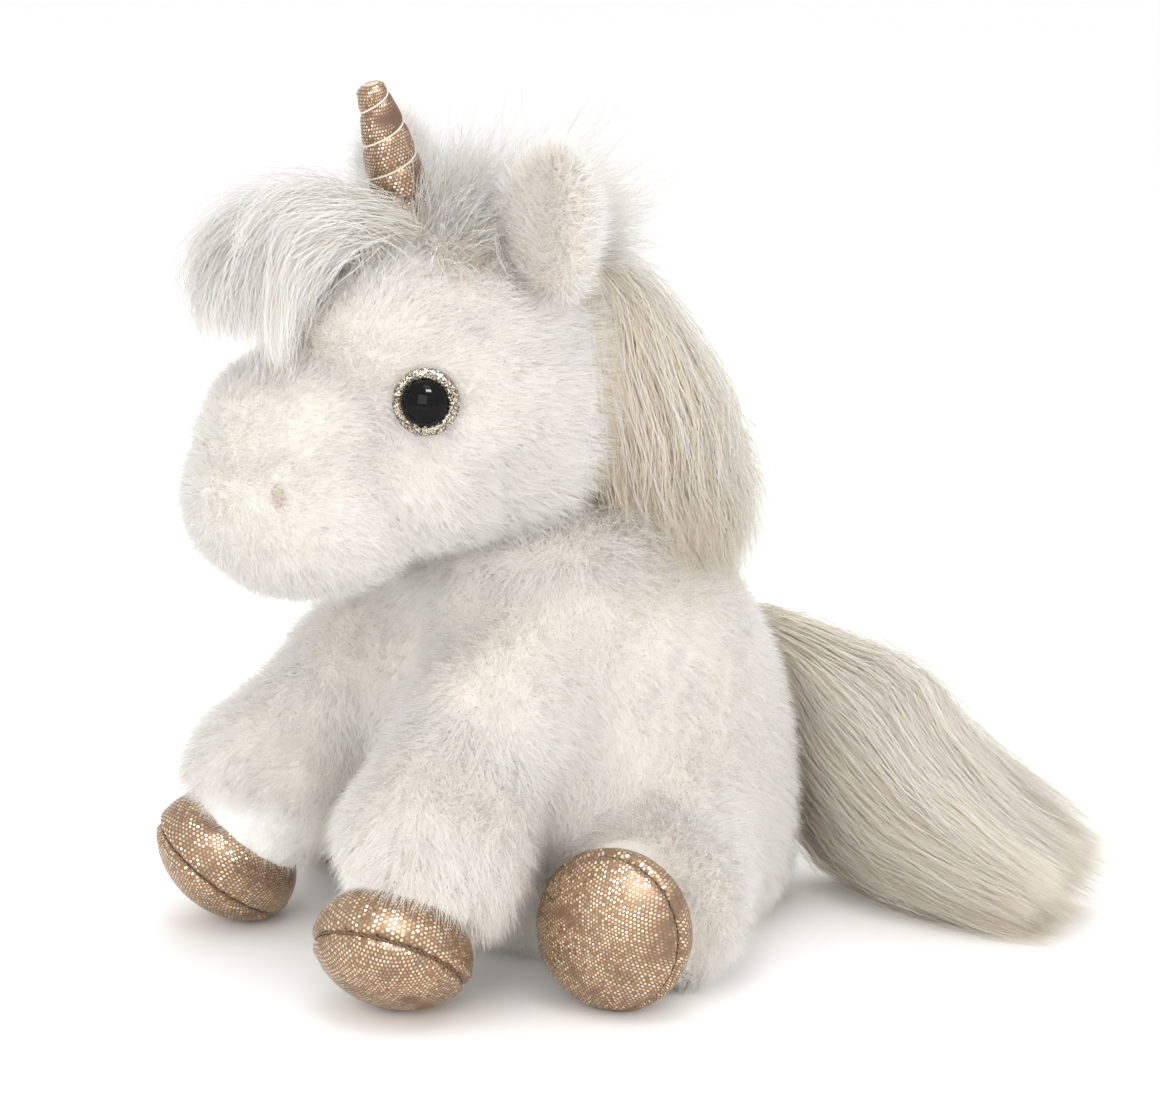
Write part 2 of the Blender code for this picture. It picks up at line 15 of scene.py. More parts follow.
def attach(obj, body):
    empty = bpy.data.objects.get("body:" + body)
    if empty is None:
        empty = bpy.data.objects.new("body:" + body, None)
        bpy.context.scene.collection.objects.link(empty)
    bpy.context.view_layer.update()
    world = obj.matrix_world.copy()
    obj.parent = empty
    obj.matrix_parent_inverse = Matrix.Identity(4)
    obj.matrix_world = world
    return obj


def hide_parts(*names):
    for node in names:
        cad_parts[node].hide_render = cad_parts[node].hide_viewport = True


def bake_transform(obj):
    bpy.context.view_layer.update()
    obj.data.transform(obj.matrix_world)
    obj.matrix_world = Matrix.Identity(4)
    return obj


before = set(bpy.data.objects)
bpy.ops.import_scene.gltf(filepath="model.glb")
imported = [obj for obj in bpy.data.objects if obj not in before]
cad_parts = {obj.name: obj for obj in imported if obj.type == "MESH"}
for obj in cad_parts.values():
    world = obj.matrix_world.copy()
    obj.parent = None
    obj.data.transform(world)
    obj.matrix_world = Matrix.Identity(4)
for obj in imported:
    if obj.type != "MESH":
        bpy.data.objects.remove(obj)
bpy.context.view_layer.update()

MM = 0.001
UP = Vector((0.0, 0.0, 1.0))
SIDES = {"left": 1.0, "right": -1.0}

# ---- Dimensions shared with the CAD ----

TORSO_LEVELS = (
    (0.0000, 0.0440, 0.0040),
    (0.0050, 0.0530, 0.0030),
    (0.0150, 0.0585, 0.0010),
    (0.0300, 0.0600, 0.0000),
    (0.0450, 0.0600, -0.0003),
    (0.0600, 0.0580, -0.0010),
    (0.0750, 0.0545, -0.0015),
    (0.0900, 0.0500, -0.0040),
    (0.1000, 0.0450, -0.0080),
)
HEAD_FORMS = (
    ((0.0, -0.0400, 0.1590), (0.0450, 0.0480, 0.0455)),
    ((0.0, -0.0605, 0.1700), (0.0340, 0.0320, 0.0300)),
    ((0.0, -0.0600, 0.1380), (0.0400, 0.0340, 0.0260)),
    ((0.0, -0.0840, 0.1460), (0.0270, 0.0330, 0.0270)),
    ((0.0, -0.0860, 0.1310), (0.0325, 0.0345, 0.0280)),
)
NECK_FORM = ((0.0, -0.0160, 0.1060), (0.0365, 0.0365, 0.0240))
EYE_CENTRE = Vector((0.0352, -0.0700, 0.1600))
EYE_NORMAL = Vector((0.771, -0.630, 0.090)).normalized()
NOSTRIL_CENTRE = Vector((0.0236, -0.1084, 0.1376))
NOSTRIL_NORMAL = Vector((0.70, -0.70, 0.18)).normalized()
HORN_BASE = Vector((0.0, -0.0535, 0.1990))
HORN_TIP = Vector((0.0, -0.0650, 0.2385))
HORN_SHARES = (0.00, 0.28, 0.55, 0.80, 0.93, 1.00)
HORN_RADII = (0.0080, 0.0078, 0.0069, 0.0052, 0.0040, 0.0018)
EAR_BASE = Vector((0.0355, -0.0350, 0.1895))
EAR_TIP = Vector((0.0430, -0.0345, 0.2215))
EAR_OPENING = Vector((0.15, -0.99, 0.0)).normalized()
EAR_RINGS = (
    (0.00, 0.0105, 0.0030),
    (0.20, 0.0140, 0.0036),
    (0.50, 0.0150, 0.0036),
    (0.80, 0.0118, 0.0030),
    (1.00, 0.0040, 0.0014),
)
MANE_LEVELS = (
    (0.0986, 0.0290, 0.0360, 0.0120),
    (0.1165, 0.0300, 0.0345, 0.0110),
    (0.1300, 0.0330, 0.0360, 0.0050),
    (0.1500, 0.0340, 0.0370, 0.0000),
    (0.1740, 0.0320, 0.0330, -0.0120),
    (0.1940, 0.0210, 0.0210, -0.0200),
    (0.2060, 0.0150, 0.0130, -0.0200),
)
FORELOCK_POINTS = (
    ((0.0, -0.0690, 0.2060), 0.0160, 0.0060),
    ((0.0, -0.0850, 0.2105), 0.0210, 0.0075),
    ((0.0, -0.0990, 0.2065), 0.0215, 0.0080),
    ((0.0, -0.1095, 0.1945), 0.0185, 0.0070),
    ((0.0, -0.1135, 0.1800), 0.0110, 0.0045),
)
TAIL_POINTS = (
    ((0.0030, 0.0655, 0.0660), 0.0060, 0.0120),
    ((0.0130, 0.0745, 0.0470), 0.0100, 0.0260),
    ((0.0360, 0.0830, 0.0328), 0.0180, 0.0308),
    ((0.0640, 0.0900, 0.0240), 0.0220, 0.0230),
    ((0.0880, 0.1030, 0.0150), 0.0210, 0.0140),
)
TAIL_ROOT = ((0.0, 0.0495, 0.0710), 0.0110, 0.0080)
TAIL_SIDE = Vector((0.6, -0.8, 0.0))
TAIL_SHADED_HOLLOW = (0.0450, 0.0780, 0.0200)  # painted shade: the strands near this hollow are darker
LEGS = {
    "front": {
        "pivot": Vector((0.0320, -0.0480, 0.0690)),
        "ball": 0.0242,
        "hoof": Vector((0.0460, -0.0880, 0.0180)),
        "sole": Vector((0.32, -0.53, -0.79)).normalized(),
        "radii": (0.0214, 0.0154),
        "ankle": (0.0275, 0.0240, 0.0185),
        "lean": 0.0025,
        "joined": 9,
    },
    "hind": {
        "pivot": Vector((0.0470, -0.0040, 0.0310)),
        "ball": 0.0265,
        "hoof": Vector((0.0740, -0.0370, 0.0217)),
        "sole": Vector((0.50, -0.86, 0.08)).normalized(),
        "radii": (0.0216, 0.0146),
        "ankle": (0.0205, 0.0226, 0.0186),
        "lean": 0.0,
        "joined": 12,
    },
}
SOLE_SEAM = 0.25  # cosine of the angle between the sole's pole and the hoof's seam
HORN_FOIL_RADIUS = 0.0070  # the printed cloth is laid out flat as if the horn had this radius all along
BACKING = 0.0030  # how far the backing cloth lies inside the CAD's outer surface
STITCHES = 64  # round each hoof
VOXEL = 0.0020  # the remesh size of every backing skin
PILE_PER_MM2 = {"torso": 3.3, "neck": 3.0, "head": 4.2, "ear": 6.5, "leg": 4.2}
HAIR_REACH = Vector((0.1080, 0.1330, 0.2500))  # no strand stands further out than this


# ---- Materials ----


class Nodes:
    """A material's node tree, with short ways to add and join nodes."""

    def __init__(self, name):
        self.material = bpy.data.materials.new(name)
        self.material.use_nodes = True
        self.tree = self.material.node_tree
        self.tree.nodes.clear()
        self.output = self.tree.nodes.new("ShaderNodeOutputMaterial")

    def add(self, kind, inputs=(), **settings):
        node = self.tree.nodes.new("ShaderNode" + kind)
        for key, value in settings.items():
            setattr(node, key, value)
        for key, value in dict(inputs).items():
            if isinstance(value, bpy.types.NodeSocket):
                self.tree.links.new(value, node.inputs[key])
            else:
                node.inputs[key].default_value = value
        return node

    def math(self, operation, first, second=0.0, third=0.0):
        node = self.add("Math", {0: first, 1: second, 2: third}, operation=operation)
        return node.outputs[0]

    def vector(self, operation, first, second=(0.0, 0.0, 0.0)):
        node = self.add("VectorMath", {0: first, 1: second}, operation=operation)
        return node.outputs["Value"] if operation in ("LENGTH", "DOT_PRODUCT") else node.outputs[0]

    def ramp(self, factor, stops, interpolation="LINEAR"):
        node = self.add("ValToRGB", {"Fac": factor})
        ramp = node.color_ramp
        ramp.interpolation = interpolation
        while len(ramp.elements) < len(stops):
            ramp.elements.new(0.5)
        for element, (place, colour) in zip(ramp.elements, stops):
            element.position = place
            element.color = (*colour, 1.0)
        return node.outputs["Color"]

    def mix(self, factor, first, second, blend="MIX"):
        node = self.add("Mix", data_type="RGBA", blend_type=blend)
        for key, value in ((0, factor), (6, first), (7, second)):
            if isinstance(value, bpy.types.NodeSocket):
                self.tree.links.new(value, node.inputs[key])
            else:
                node.inputs[key].default_value = value if key == 0 else (*value, 1.0)
        return node.outputs[2]

    def step(self, value, low, high):
        """A smooth 0 to 1 step of value from low to high."""
        inputs = {"Value": value, "From Min": low, "From Max": high}
        return self.add("MapRange", inputs, interpolation_type="SMOOTHSTEP").outputs["Result"]

    def place(self):
        """Where a point lies on its piece, in metres."""
        return self.add("TexCoord").outputs["Object"]

    def noise(self, place, scale, detail):
        return self.add("TexNoise", {"Vector": place, "Scale": scale, "Detail": detail}).outputs

    def bump(self, strength, distance, height):
        node = self.add("Bump", {"Strength": strength, "Distance": distance, "Height": height})
        return node.outputs[0]

    def tilt(self, colour, size):
        """A random colour as a vector about zero, scaled by size."""
        node = self.vector("SCALE", self.vector("SUBTRACT", colour, (0.5, 0.5, 0.5))).node
        if isinstance(size, bpy.types.NodeSocket):
            self.tree.links.new(size, node.inputs["Scale"])
        else:
            node.inputs["Scale"].default_value = size
        return node.outputs[0]

    def shade(self, shader):
        self.tree.links.new(shader.outputs[0], self.output.inputs["Surface"])
        return self.material

    def principled(self, colour, roughness, **inputs):
        """The finished material: one Principled shader. Other inputs are given with _ for a space."""
        inputs = {key.replace("_", " "): value for key, value in inputs.items()}
        inputs.update({"Base Color": colour, "Roughness": roughness})
        return self.shade(self.add("BsdfPrincipled", inputs))


def fibre_material(name, tints, root_painted_shade, roughness, sheen, translucent):
    """Loose fibre. A strand's tint runs along u and its length along v of the map OFBake. Each strand is
    painted darker towards its root, as painted shade deep in the fur.
    """
    n = Nodes(name)
    place = n.add("UVMap", uv_map="OFBake")
    parts = n.add("SeparateXYZ", {0: place.outputs[0]})
    tint = n.ramp(parts.outputs["X"], tints)
    # Painted shade: each strand is darker towards its root, deep in the fur.
    painted_shade_fade = n.step(parts.outputs["Y"], 0.0, 0.55)
    colour = n.mix(painted_shade_fade, root_painted_shade, (1.0, 1.0, 1.0))
    colour = n.mix(1.0, tint, colour, "MULTIPLY")
    gloss = n.add("BsdfPrincipled", {"Base Color": colour, "Roughness": roughness, "Sheen Weight": sheen,
                                     "Sheen Roughness": 0.5, "Specular IOR Level": 0.15})
    glow = n.add("BsdfTranslucent", {"Color": colour})
    both = n.add("MixShader", {0: translucent, 1: gloss.outputs[0], 2: glow.outputs[0]})
    return n.shade(both)


def cloth_material(name, colour, deep, scale, roughness=0.95):
    """Plain woven or knitted backing cloth, with a fine weave and soft blotches."""
    n = Nodes(name)
    place = n.place()
    blotch = n.noise(place, 60.0, 3.0)["Fac"]
    thread = n.add("TexVoronoi", {"Vector": place, "Scale": scale}, feature="F1")
    tone = n.mix(n.step(blotch, 0.35, 0.7), deep, colour)
    bump = n.bump(0.5, 0.3 * MM, thread.outputs["Distance"])
    rough = n.math("MULTIPLY_ADD", blotch, 0.1, roughness - 0.1)
    return n.principled(tone, rough, Normal=bump, Sheen_Weight=0.3)


FOIL_GLINTS = (
    (0.0, (0.34, 0.23, 0.14)),
    (0.4, (0.60, 0.45, 0.31)),
    (0.9, (0.95, 0.78, 0.58)),
    (0.94, (0.62, 0.86, 0.80)),
    (0.97, (0.95, 0.60, 0.45)),
    (1.0, (0.95, 0.80, 0.35)),
)
GLITTER_FLAKES = (
    (0.0, (0.02, 0.018, 0.015)),
    (0.35, (0.10, 0.085, 0.07)),
    (0.6, (0.26, 0.225, 0.18)),
    (0.85, (0.72, 0.68, 0.60)),
    (1.0, (0.78, 0.54, 0.28)),
)


def foil_material(name, cloth, pitch):
    """Champagne knit printed with foil dots in a hexagonal grid, laid out on the map Foil in metres."""
    n = Nodes(name)
    flat = n.add("UVMap", uv_map="Foil").outputs[0]
    place = n.place()
    flat = n.vector("ADD", flat, n.tilt(n.noise(place, 90.0, 1.0)["Color"], 1.6 * pitch))
    row_pitch = pitch * math.sqrt(3.0)
    grid = n.vector("DIVIDE", flat, (pitch, row_pitch, 1.0))
    reach, codes = [], []
    for shift in (0.0, 0.5):
        moved = n.vector("ADD", grid, (shift, shift, 0.0))
        offset = n.vector("SUBTRACT", n.vector("FRACTION", moved), (0.5, 0.5, 0.0))
        reach.append(n.vector("LENGTH", n.vector("MULTIPLY", offset, (pitch, row_pitch, 0.0))))
        codes.append(n.vector("ADD", n.vector("FLOOR", moved), (0.0, 0.0, 10.0 * shift)))
    nearest = n.math("MINIMUM", reach[0], reach[1])
    second = n.math("LESS_THAN", reach[1], reach[0])
    code = n.add("Mix", {0: second, 4: codes[0], 5: codes[1]}, data_type="VECTOR").outputs[1]
    dot = n.step(nearest, 0.36 * pitch, 0.22 * pitch)
    chance = n.add("TexWhiteNoise", {"Vector": code}, noise_dimensions="3D")
    worn = n.noise(place, 110.0, 2.0)["Fac"]
    spark = n.math("MULTIPLY", dot, n.step(worn, 0.30, 0.50))
    shades = [[share * c for c in cloth] for share in (0.70, 1.0, 1.2)]
    base = n.ramp(worn, list(zip((0.25, 0.6, 0.85), shades)))
    foil = n.ramp(chance.outputs["Value"], FOIL_GLINTS)
    tilt = n.tilt(chance.outputs["Color"], n.math("MULTIPLY", spark, 0.55))
    weave = n.bump(0.35, 0.1 * MM, n.noise(place, 2600.0, 1.0)["Fac"])
    normal = n.vector("NORMALIZE", n.vector("ADD", weave, tilt))
    metal = n.math("MULTIPLY_ADD", spark, 0.55, 0.35)
    rough = n.math("MULTIPLY_ADD", spark, -0.20, 0.45)
    return n.principled(n.mix(spark, base, foil), rough, Metallic=metal, Normal=normal)


def thread_material(name, colour, deep):
    """Twisted sewing thread, painted lighter on the crown of each twist and darker between twists: painted
    light and shade that follow the twist's bump.
    """
    n = Nodes(name)
    place = n.place()
    twist = n.add("TexWave", {"Vector": place, "Scale": 900.0, "Distortion": 1.0})
    # Painted light and shade: the tone is lighter on each twist's crown and darker in its grooves.
    tone = n.mix(twist.outputs["Fac"], deep, colour)
    bump = n.bump(0.4, 0.1 * MM, twist.outputs["Fac"])
    return n.principled(tone, 0.6, Normal=bump, Sheen_Weight=0.3)


def eye_material():
    """Polished black plastic with a trace of dust."""
    n = Nodes("eye_black_gloss")
    place = n.place()
    dust = n.noise(place, 700.0, 2.0)["Fac"]
    rough = n.math("MULTIPLY_ADD", n.step(dust, 0.62, 0.75), 0.06, 0.03)
    tone = n.mix(n.step(dust, 0.5, 0.8), (0.003, 0.003, 0.003), (0.008, 0.007, 0.007))
    return n.principled(tone, rough, Coat_Weight=0.30, Coat_Roughness=0.02, Specular_IOR_Level=0.0)


def glitter_material():
    """Silver and gold flakes under clear plastic."""
    n = Nodes("eye_glitter_flakes")
    place = n.place()
    flake = n.add("TexVoronoi", {"Vector": place, "Scale": 3600.0}, feature="F1")
    parts = n.add("SeparateColor", {0: flake.outputs["Color"]})
    colour = n.ramp(parts.outputs["Red"], GLITTER_FLAKES)
    surface = n.add("NewGeometry").outputs["Normal"]
    normal = n.vector("NORMALIZE", n.vector("ADD", surface, n.tilt(flake.outputs["Color"], 1.1)))
    return n.principled(colour, 0.28, Metallic=0.85, Normal=normal, Coat_Weight=0.7, Coat_Roughness=0.05)


def filling_material(name, colour, deep, scale):
    """Loose fibre or pellets seen as a whole: clumps, hollows painted darker as painted shade, and a soft
    surface.
    """
    n = Nodes(name)
    place = n.place()
    clump = n.add("TexNoise", {"Vector": place, "Scale": scale, "Detail": 6.0, "Roughness": 0.7})
    # Painted shade: the tone is darker in the hollows between clumps.
    tone = n.mix(n.step(clump.outputs["Fac"], 0.3, 0.65), deep, colour)
    rough = n.math("MULTIPLY_ADD", clump.outputs["Fac"], 0.2, 0.8)
    return n.principled(tone, rough, Normal=n.bump(0.8, 1.0 * MM, clump.outputs["Fac"]))


PILE = fibre_material(
    "white_pile",
    ((0.0, (0.94, 0.905, 0.86)), (0.25, (0.97, 0.95, 0.92)), (0.6, (0.985, 0.972, 0.95)),
     (0.93, (0.99, 0.98, 0.965)), (1.0, (0.72, 0.62, 0.52))),
    (1.0, 0.99, 0.975), 0.85, 0.0, 0.55)
HAIR = fibre_material(
    "cream_long_hair",
    ((0.0, (0.36, 0.29, 0.20)), (0.12, (0.56, 0.47, 0.35)), (0.4, (0.74, 0.665, 0.54)),
     (0.7, (0.86, 0.81, 0.71)), (0.88, (0.955, 0.947, 0.930)), (1.0, (0.965, 0.962, 0.956))),
    (0.96, 0.94, 0.89), 0.45, 0.0, 0.42)
BACKING_CLOTH = cloth_material("white_backing_knit", (0.90, 0.88, 0.85), (0.82, 0.79, 0.75), 1400.0)
LINING_CLOTH = cloth_material("ear_lining_knit", (0.90, 0.86, 0.81), (0.80, 0.73, 0.66), 1400.0)
FOIL = foil_material("champagne_foil_knit", (0.26, 0.157, 0.090), 1.25 * MM)
HORN_FOIL = foil_material("rose_foil_knit", (0.215, 0.125, 0.080), 1.0 * MM)
SEAM_THREAD = thread_material("brown_seam_thread", (0.30, 0.17, 0.09), (0.10, 0.05, 0.025))
HORN_THREAD = thread_material("cream_horn_thread", (0.88, 0.80, 0.68), (0.66, 0.55, 0.42))
NOSE_THREAD = thread_material("beige_nose_thread", (0.56, 0.50, 0.43), (0.42, 0.36, 0.30))
EYE_BLACK = eye_material()
GLITTER = glitter_material()
FILLING = filling_material("white_fibre_filling", (0.95, 0.95, 0.94), (0.78, 0.78, 0.77), 120.0)
POUCH = filling_material("pellet_pouch_cloth", (0.76, 0.68, 0.59), (0.58, 0.50, 0.42), 500.0)
WASHER = filling_material("moulded_washer_plastic", (0.93, 0.93, 0.92), (0.88, 0.88, 0.87), 900.0)


# ---- Mesh helpers ----


def new_object(name, mesh, material=None):
    mesh.name = name
    obj = bpy.data.objects.new(name, mesh)
    bpy.context.scene.collection.objects.link(obj)
    if material:
        mesh.materials.append(material)
    return obj


def object_from(bm, name, material=None):
    bmesh.ops.recalc_face_normals(bm, faces=bm.faces)
    mesh = bpy.data.meshes.new(name)
    bm.to_mesh(mesh)
    bm.free()
    mesh.shade_smooth()
    return new_object(name, mesh, material)


def apply_modifiers(obj):
    bpy.context.view_layer.update()
    graph = bpy.context.evaluated_depsgraph_get()
    mesh = bpy.data.meshes.new_from_object(obj.evaluated_get(graph))
    obj.modifiers.clear()
    obj.data = mesh
    mesh.name = obj.name
    return obj


def add_ellipsoid(bm, centre, radii, segments=40):
    place = Matrix.Translation(Vector(centre)) @ Matrix.Diagonal((*radii, 1.0))
    bmesh.ops.create_uvsphere(bm, u_segments=segments, v_segments=segments // 2, radius=1.0, matrix=place)


def bridge(bm, rows, closed=True):
    """Faces between each row of points and the next, which close into rings or stay open strips."""
    faces = []
    for first, second in zip(rows, rows[1:]):
        count = len(first)
        for i in range(count if closed else count - 1):
            j = (i + 1) % count
            faces.append(bm.faces.new((first[i], first[j], second[j], second[i])))
    return faces


def add_loft(bm, rings, segments=40):
    """A closed skin through rings of (centre, side, up)."""
    angles = [2 * math.pi * i / segments for i in range(segments)]
    loops = []
    for centre, side, up in rings:
        loops.append([bm.verts.new(centre + side * math.cos(a) + up * math.sin(a)) for a in angles])
    bridge(bm, loops)
    bm.faces.new(loops[0][::-1])
    bm.faces.new(loops[-1])


def skin_of(bm, name, voxel, rounds, fill=0.0):
    """One smooth closed skin round the shapes in bm, with creases filled by a fillet of radius fill."""
    obj = object_from(bm, name)
    for strength in (fill, -fill, 0.0) if fill else (0.0,):
        remesh = obj.modifiers.new("Remesh", "REMESH")
        remesh.mode = "VOXEL"
        remesh.voxel_size = voxel
        if strength:
            smooth = obj.modifiers.new("Smooth", "SMOOTH")
            smooth.iterations = 3
            grow = obj.modifiers.new("Grow", "DISPLACE")
            grow.mid_level = 0.0
            grow.strength = strength
    smooth = obj.modifiers.new("Smooth", "SMOOTH")
    smooth.factor = 0.5
    smooth.iterations = rounds
    apply_modifiers(obj)
    obj.data.shade_smooth()
    return obj


def tube(name, paths, radius, material, resolution=3):
    """Round threads along the paths, as one mesh."""
    curve = bpy.data.curves.new(name, "CURVE")
    curve.dimensions = "3D"
    curve.bevel_depth = radius
    curve.bevel_resolution = resolution
    curve.use_fill_caps = True
    for path in paths:
        spline = curve.splines.new("POLY")
        spline.points.add(len(path) - 1)
        for point, place in zip(spline.points, path):
            point.co = (*place, 1.0)
    obj = bpy.data.objects.new(name, curve)
    bpy.context.scene.collection.objects.link(obj)
    bpy.context.view_layer.update()
    mesh = bpy.data.meshes.new_from_object(obj.evaluated_get(bpy.context.evaluated_depsgraph_get()))
    bpy.data.objects.remove(obj)
    obj = new_object(name, mesh, material)
    obj.data.shade_smooth()
    return obj


def smooth_table(rows, count):
    """The rows resampled evenly through a Catmull-Rom curve."""
    rows = np.array(rows, float)
    padded = np.vstack([2 * rows[0] - rows[1], rows, 2 * rows[-1] - rows[-2]])
    t = np.linspace(0, len(rows) - 1 - 1e-9, count)
    i = t.astype(int)
    f = (t - i)[:, None]
    a, b, c, d = padded[i], padded[i + 1], padded[i + 2], padded[i + 3]
    square = (2 * a - 5 * b + 4 * c - d) * f**2
    return 0.5 * (2 * b + (c - a) * f + square + (3 * b - a - 3 * c + d) * f**3)


def mirrored(point):
    return Vector((-point[0], point[1], point[2]))


def direction(angle, turn):
    """The unit vector at this angle from +Z, turned about it from +X."""
    return math.sin(angle) * math.cos(turn), math.sin(angle) * math.sin(turn), math.cos(angle)


def mirror_mesh(bm):
    """Turns a left piece into its right twin. The caller puts the faces the right way round."""
    bmesh.ops.transform(bm, matrix=Matrix.Diagonal((-1, 1, 1, 1)), verts=bm.verts)


def on_side(point, sign):
    """The point of the left side, or its mirror image on the right, as an array."""
    return np.array(point) * (sign, 1, 1)


# ---- Strand helpers: arrays of points, one row per strand ----


def unit(vectors):
    return vectors / np.maximum(np.linalg.norm(vectors, axis=-1, keepdims=True), 1e-12)


def waves(points, wavelength, seed):
    """A smooth random vector field, about -1 to 1, made of a few crossing waves."""
    terms = 7
    rng = np.random.default_rng(seed)
    total = np.zeros(points.shape)
    for _ in range(terms):
        direction = unit(rng.normal(size=3)) * 2 * math.pi / (wavelength * rng.uniform(0.7, 1.5))
        phase = rng.uniform(0, 2 * math.pi, 3)
        total += np.sin((points @ direction)[..., None] + phase)
    return total / math.sqrt(terms / 2)


def rows_of(items, key, kind):
    """An attribute of three numbers as an array, one row per item."""
    values = np.zeros(len(items) * 3, kind)
    items.foreach_get(key, values)
    return values.reshape(-1, 3)


def along_skin(flow, normals):
    """The flow with its part along the normals taken out."""
    return flow - normals * (flow * normals).sum(1)[:, None]


def scatter(skin, per_mm2, seed, in_fixed_order=False):
    """Random places on a skin, with its normals there.

    Blender lists the faces of a UV sphere in another order each run. in_fixed_order sorts them, so that
    the same strands are drawn every time.
    """
    mesh = skin.data
    mesh.calc_loop_triangles()
    co = rows_of(mesh.vertices, "co", float)
    normals = rows_of(mesh.vertices, "normal", float)
    tris = rows_of(mesh.loop_triangles, "vertices", np.int32)
    if in_fixed_order:
        tris = np.sort(tris, axis=1)
        tris = tris[np.lexsort(tris.T)]
    a, b, c = co[tris[:, 0]], co[tris[:, 1]], co[tris[:, 2]]
    area = np.linalg.norm(np.cross(b - a, c - a), axis=1) / 2
    rng = np.random.default_rng(seed)
    count = int(area.sum() * 1e6 * per_mm2)
    pick = rng.choice(len(tris), count, p=area / area.sum())
    r1, r2 = np.sqrt(rng.random(count)), rng.random(count)
    w = np.stack([1 - r1, r1 * (1 - r2), r1 * r2], axis=1)[:, :, None]
    return (co[tris[pick]] * w).sum(1), unit((normals[tris[pick]] * w).sum(1))


def depth_in(points, form, grow=0.0):
    """Less than 1 inside the ellipsoid form (centre, radii), grown by grow."""
    centre, radii = form
    return np.linalg.norm((points - np.array(centre)) / (np.array(radii) + grow), axis=-1)


def push_out(points, form, grow):
    """Points inside the grown ellipsoid moved out to its surface."""
    centre, radii = np.array(form[0]), np.array(form[1]) + grow
    local = (points - centre) / radii
    length = np.linalg.norm(local, axis=-1, keepdims=True)
    out = centre + local / np.maximum(length, 1e-6) * radii
    return np.where(length < 1, out, points)


def push_out_turned(points, centre, radii, axis, grow):
    """The same for an ellipsoid whose third radius lies along axis."""
    turn = np.array(axis.to_track_quat("Z", "Y").to_matrix())
    local = (points - np.array(centre)) @ turn
    moved = push_out(local, ((0.0, 0.0, 0.0), radii), grow)
    return moved @ turn.T + np.array(centre)


def depth_in_turned(points, centre, radii, axis, grow=0.0):
    """Less than 1 inside the grown ellipsoid whose third radius lies along axis."""
    turn = np.array(axis.to_track_quat("Z", "Y").to_matrix())
    return depth_in((points - np.array(centre)) @ turn, ((0.0, 0.0, 0.0), radii), grow)


def distance_to_segment(points, start, end):
    """Distance of points from the segment between start and end."""
    start, end = np.array(start), np.array(end)
    along = end - start
    t = np.clip((points - start) @ along / (along @ along), 0, 1)
    return np.linalg.norm(points - start - t[..., None] * along, axis=-1)


def gather(points, tips, share_of_centres, pull, seed):
    """The tips drawn together into tufts, by the nearest of a random few."""
    rng = np.random.default_rng(seed)
    centres = rng.choice(len(points), max(8, int(len(points) * share_of_centres)), replace=False)
    tree = KDTree(len(centres))
    for i, c in enumerate(centres):
        tree.insert(points[c], i)
    tree.balance()
    nearest = np.array([tree.find(p)[1] for p in points])
    goal = tips[centres[nearest]]
    strength = (pull * rng.uniform(0.4, 1.0, len(centres)))[nearest][:, None]
    return tips + (goal - tips) * strength


def ribbons(name, path, width, normal, tint, material, taper, soften, roll, seed):
    """One mesh of flat tapering strands. path is (strands, points, 3), and each strand ends in a point.

    A strand is turned about itself by up to roll quarter turns. soften is how far its shading follows
    the cloth's normal in place of its own.
    """
    count, steps = path.shape[:2]
    rng = np.random.default_rng(seed)
    tangent = unit(np.gradient(path, axis=1))
    facing = np.broadcast_to(normal[:, None, :], path.shape)
    side = unit(np.cross(tangent, facing))
    upward = np.cross(side, tangent)
    angle = (rng.uniform(-roll, roll, count) * math.pi / 2)[:, None, None]
    side = side * np.cos(angle) + upward * np.sin(angle)
    flat = np.cross(side, tangent)
    half = (width * np.array(taper) / 2)[None, :, None]
    body = path[:, :-1]
    pairs = np.stack([body - side[:, :-1] * half, body + side[:, :-1] * half], axis=2)
    verts = np.concatenate([pairs.reshape(count, -1, 3), path[:, -1:]], axis=1)
    per = verts.shape[1]
    faces = []
    for i in range(steps - 2):
        faces += [(2 * i, 2 * i + 1, 2 * i + 3), (2 * i, 2 * i + 3, 2 * i + 2)]
    last = 2 * (steps - 2)
    faces.append((last, last + 1, last + 2))
    faces = (np.array(faces)[None] + np.arange(count)[:, None, None] * per).reshape(-1, 3)
    shading = unit(facing * soften + flat * (1 - soften))
    vertex_normals = np.concatenate([np.repeat(shading[:, :-1], 2, axis=1), shading[:, -1:]], axis=1)
    along = np.linspace(0, 1, steps)
    v = np.concatenate([np.repeat(along[:-1], 2), along[-1:]])
    u_side = np.concatenate([np.tile([-1.0, 1.0], steps - 1), [0.0]]) * 0.006
    u = np.clip(tint, 0.01, 0.99)[:, None] + u_side[None, :]
    uv = np.stack([u, np.broadcast_to(v, u.shape)], axis=2).reshape(-1, 2)

    mesh = bpy.data.meshes.new(name)
    mesh.vertices.add(count * per)
    mesh.vertices.foreach_set("co", verts.astype(np.float32).ravel())
    mesh.loops.add(faces.size)
    mesh.loops.foreach_set("vertex_index", faces.astype(np.int32).ravel())
    mesh.polygons.add(len(faces))
    mesh.polygons.foreach_set("loop_start", np.arange(0, faces.size, 3, dtype=np.int32))
    mesh.update(calc_edges=True)
    mesh.shade_smooth()
    layer = mesh.uv_layers.new(name="OFBake")
    layer.data.foreach_set("uv", uv[faces.ravel()].astype(np.float32).ravel())
    mesh.normals_split_custom_set_from_vertices(vertex_normals.reshape(-1, 3).astype(np.float32))
    obj = new_object(name, mesh, material)
    print(f"{name}: {count} strands, {len(faces)} triangles", flush=True)
    return obj


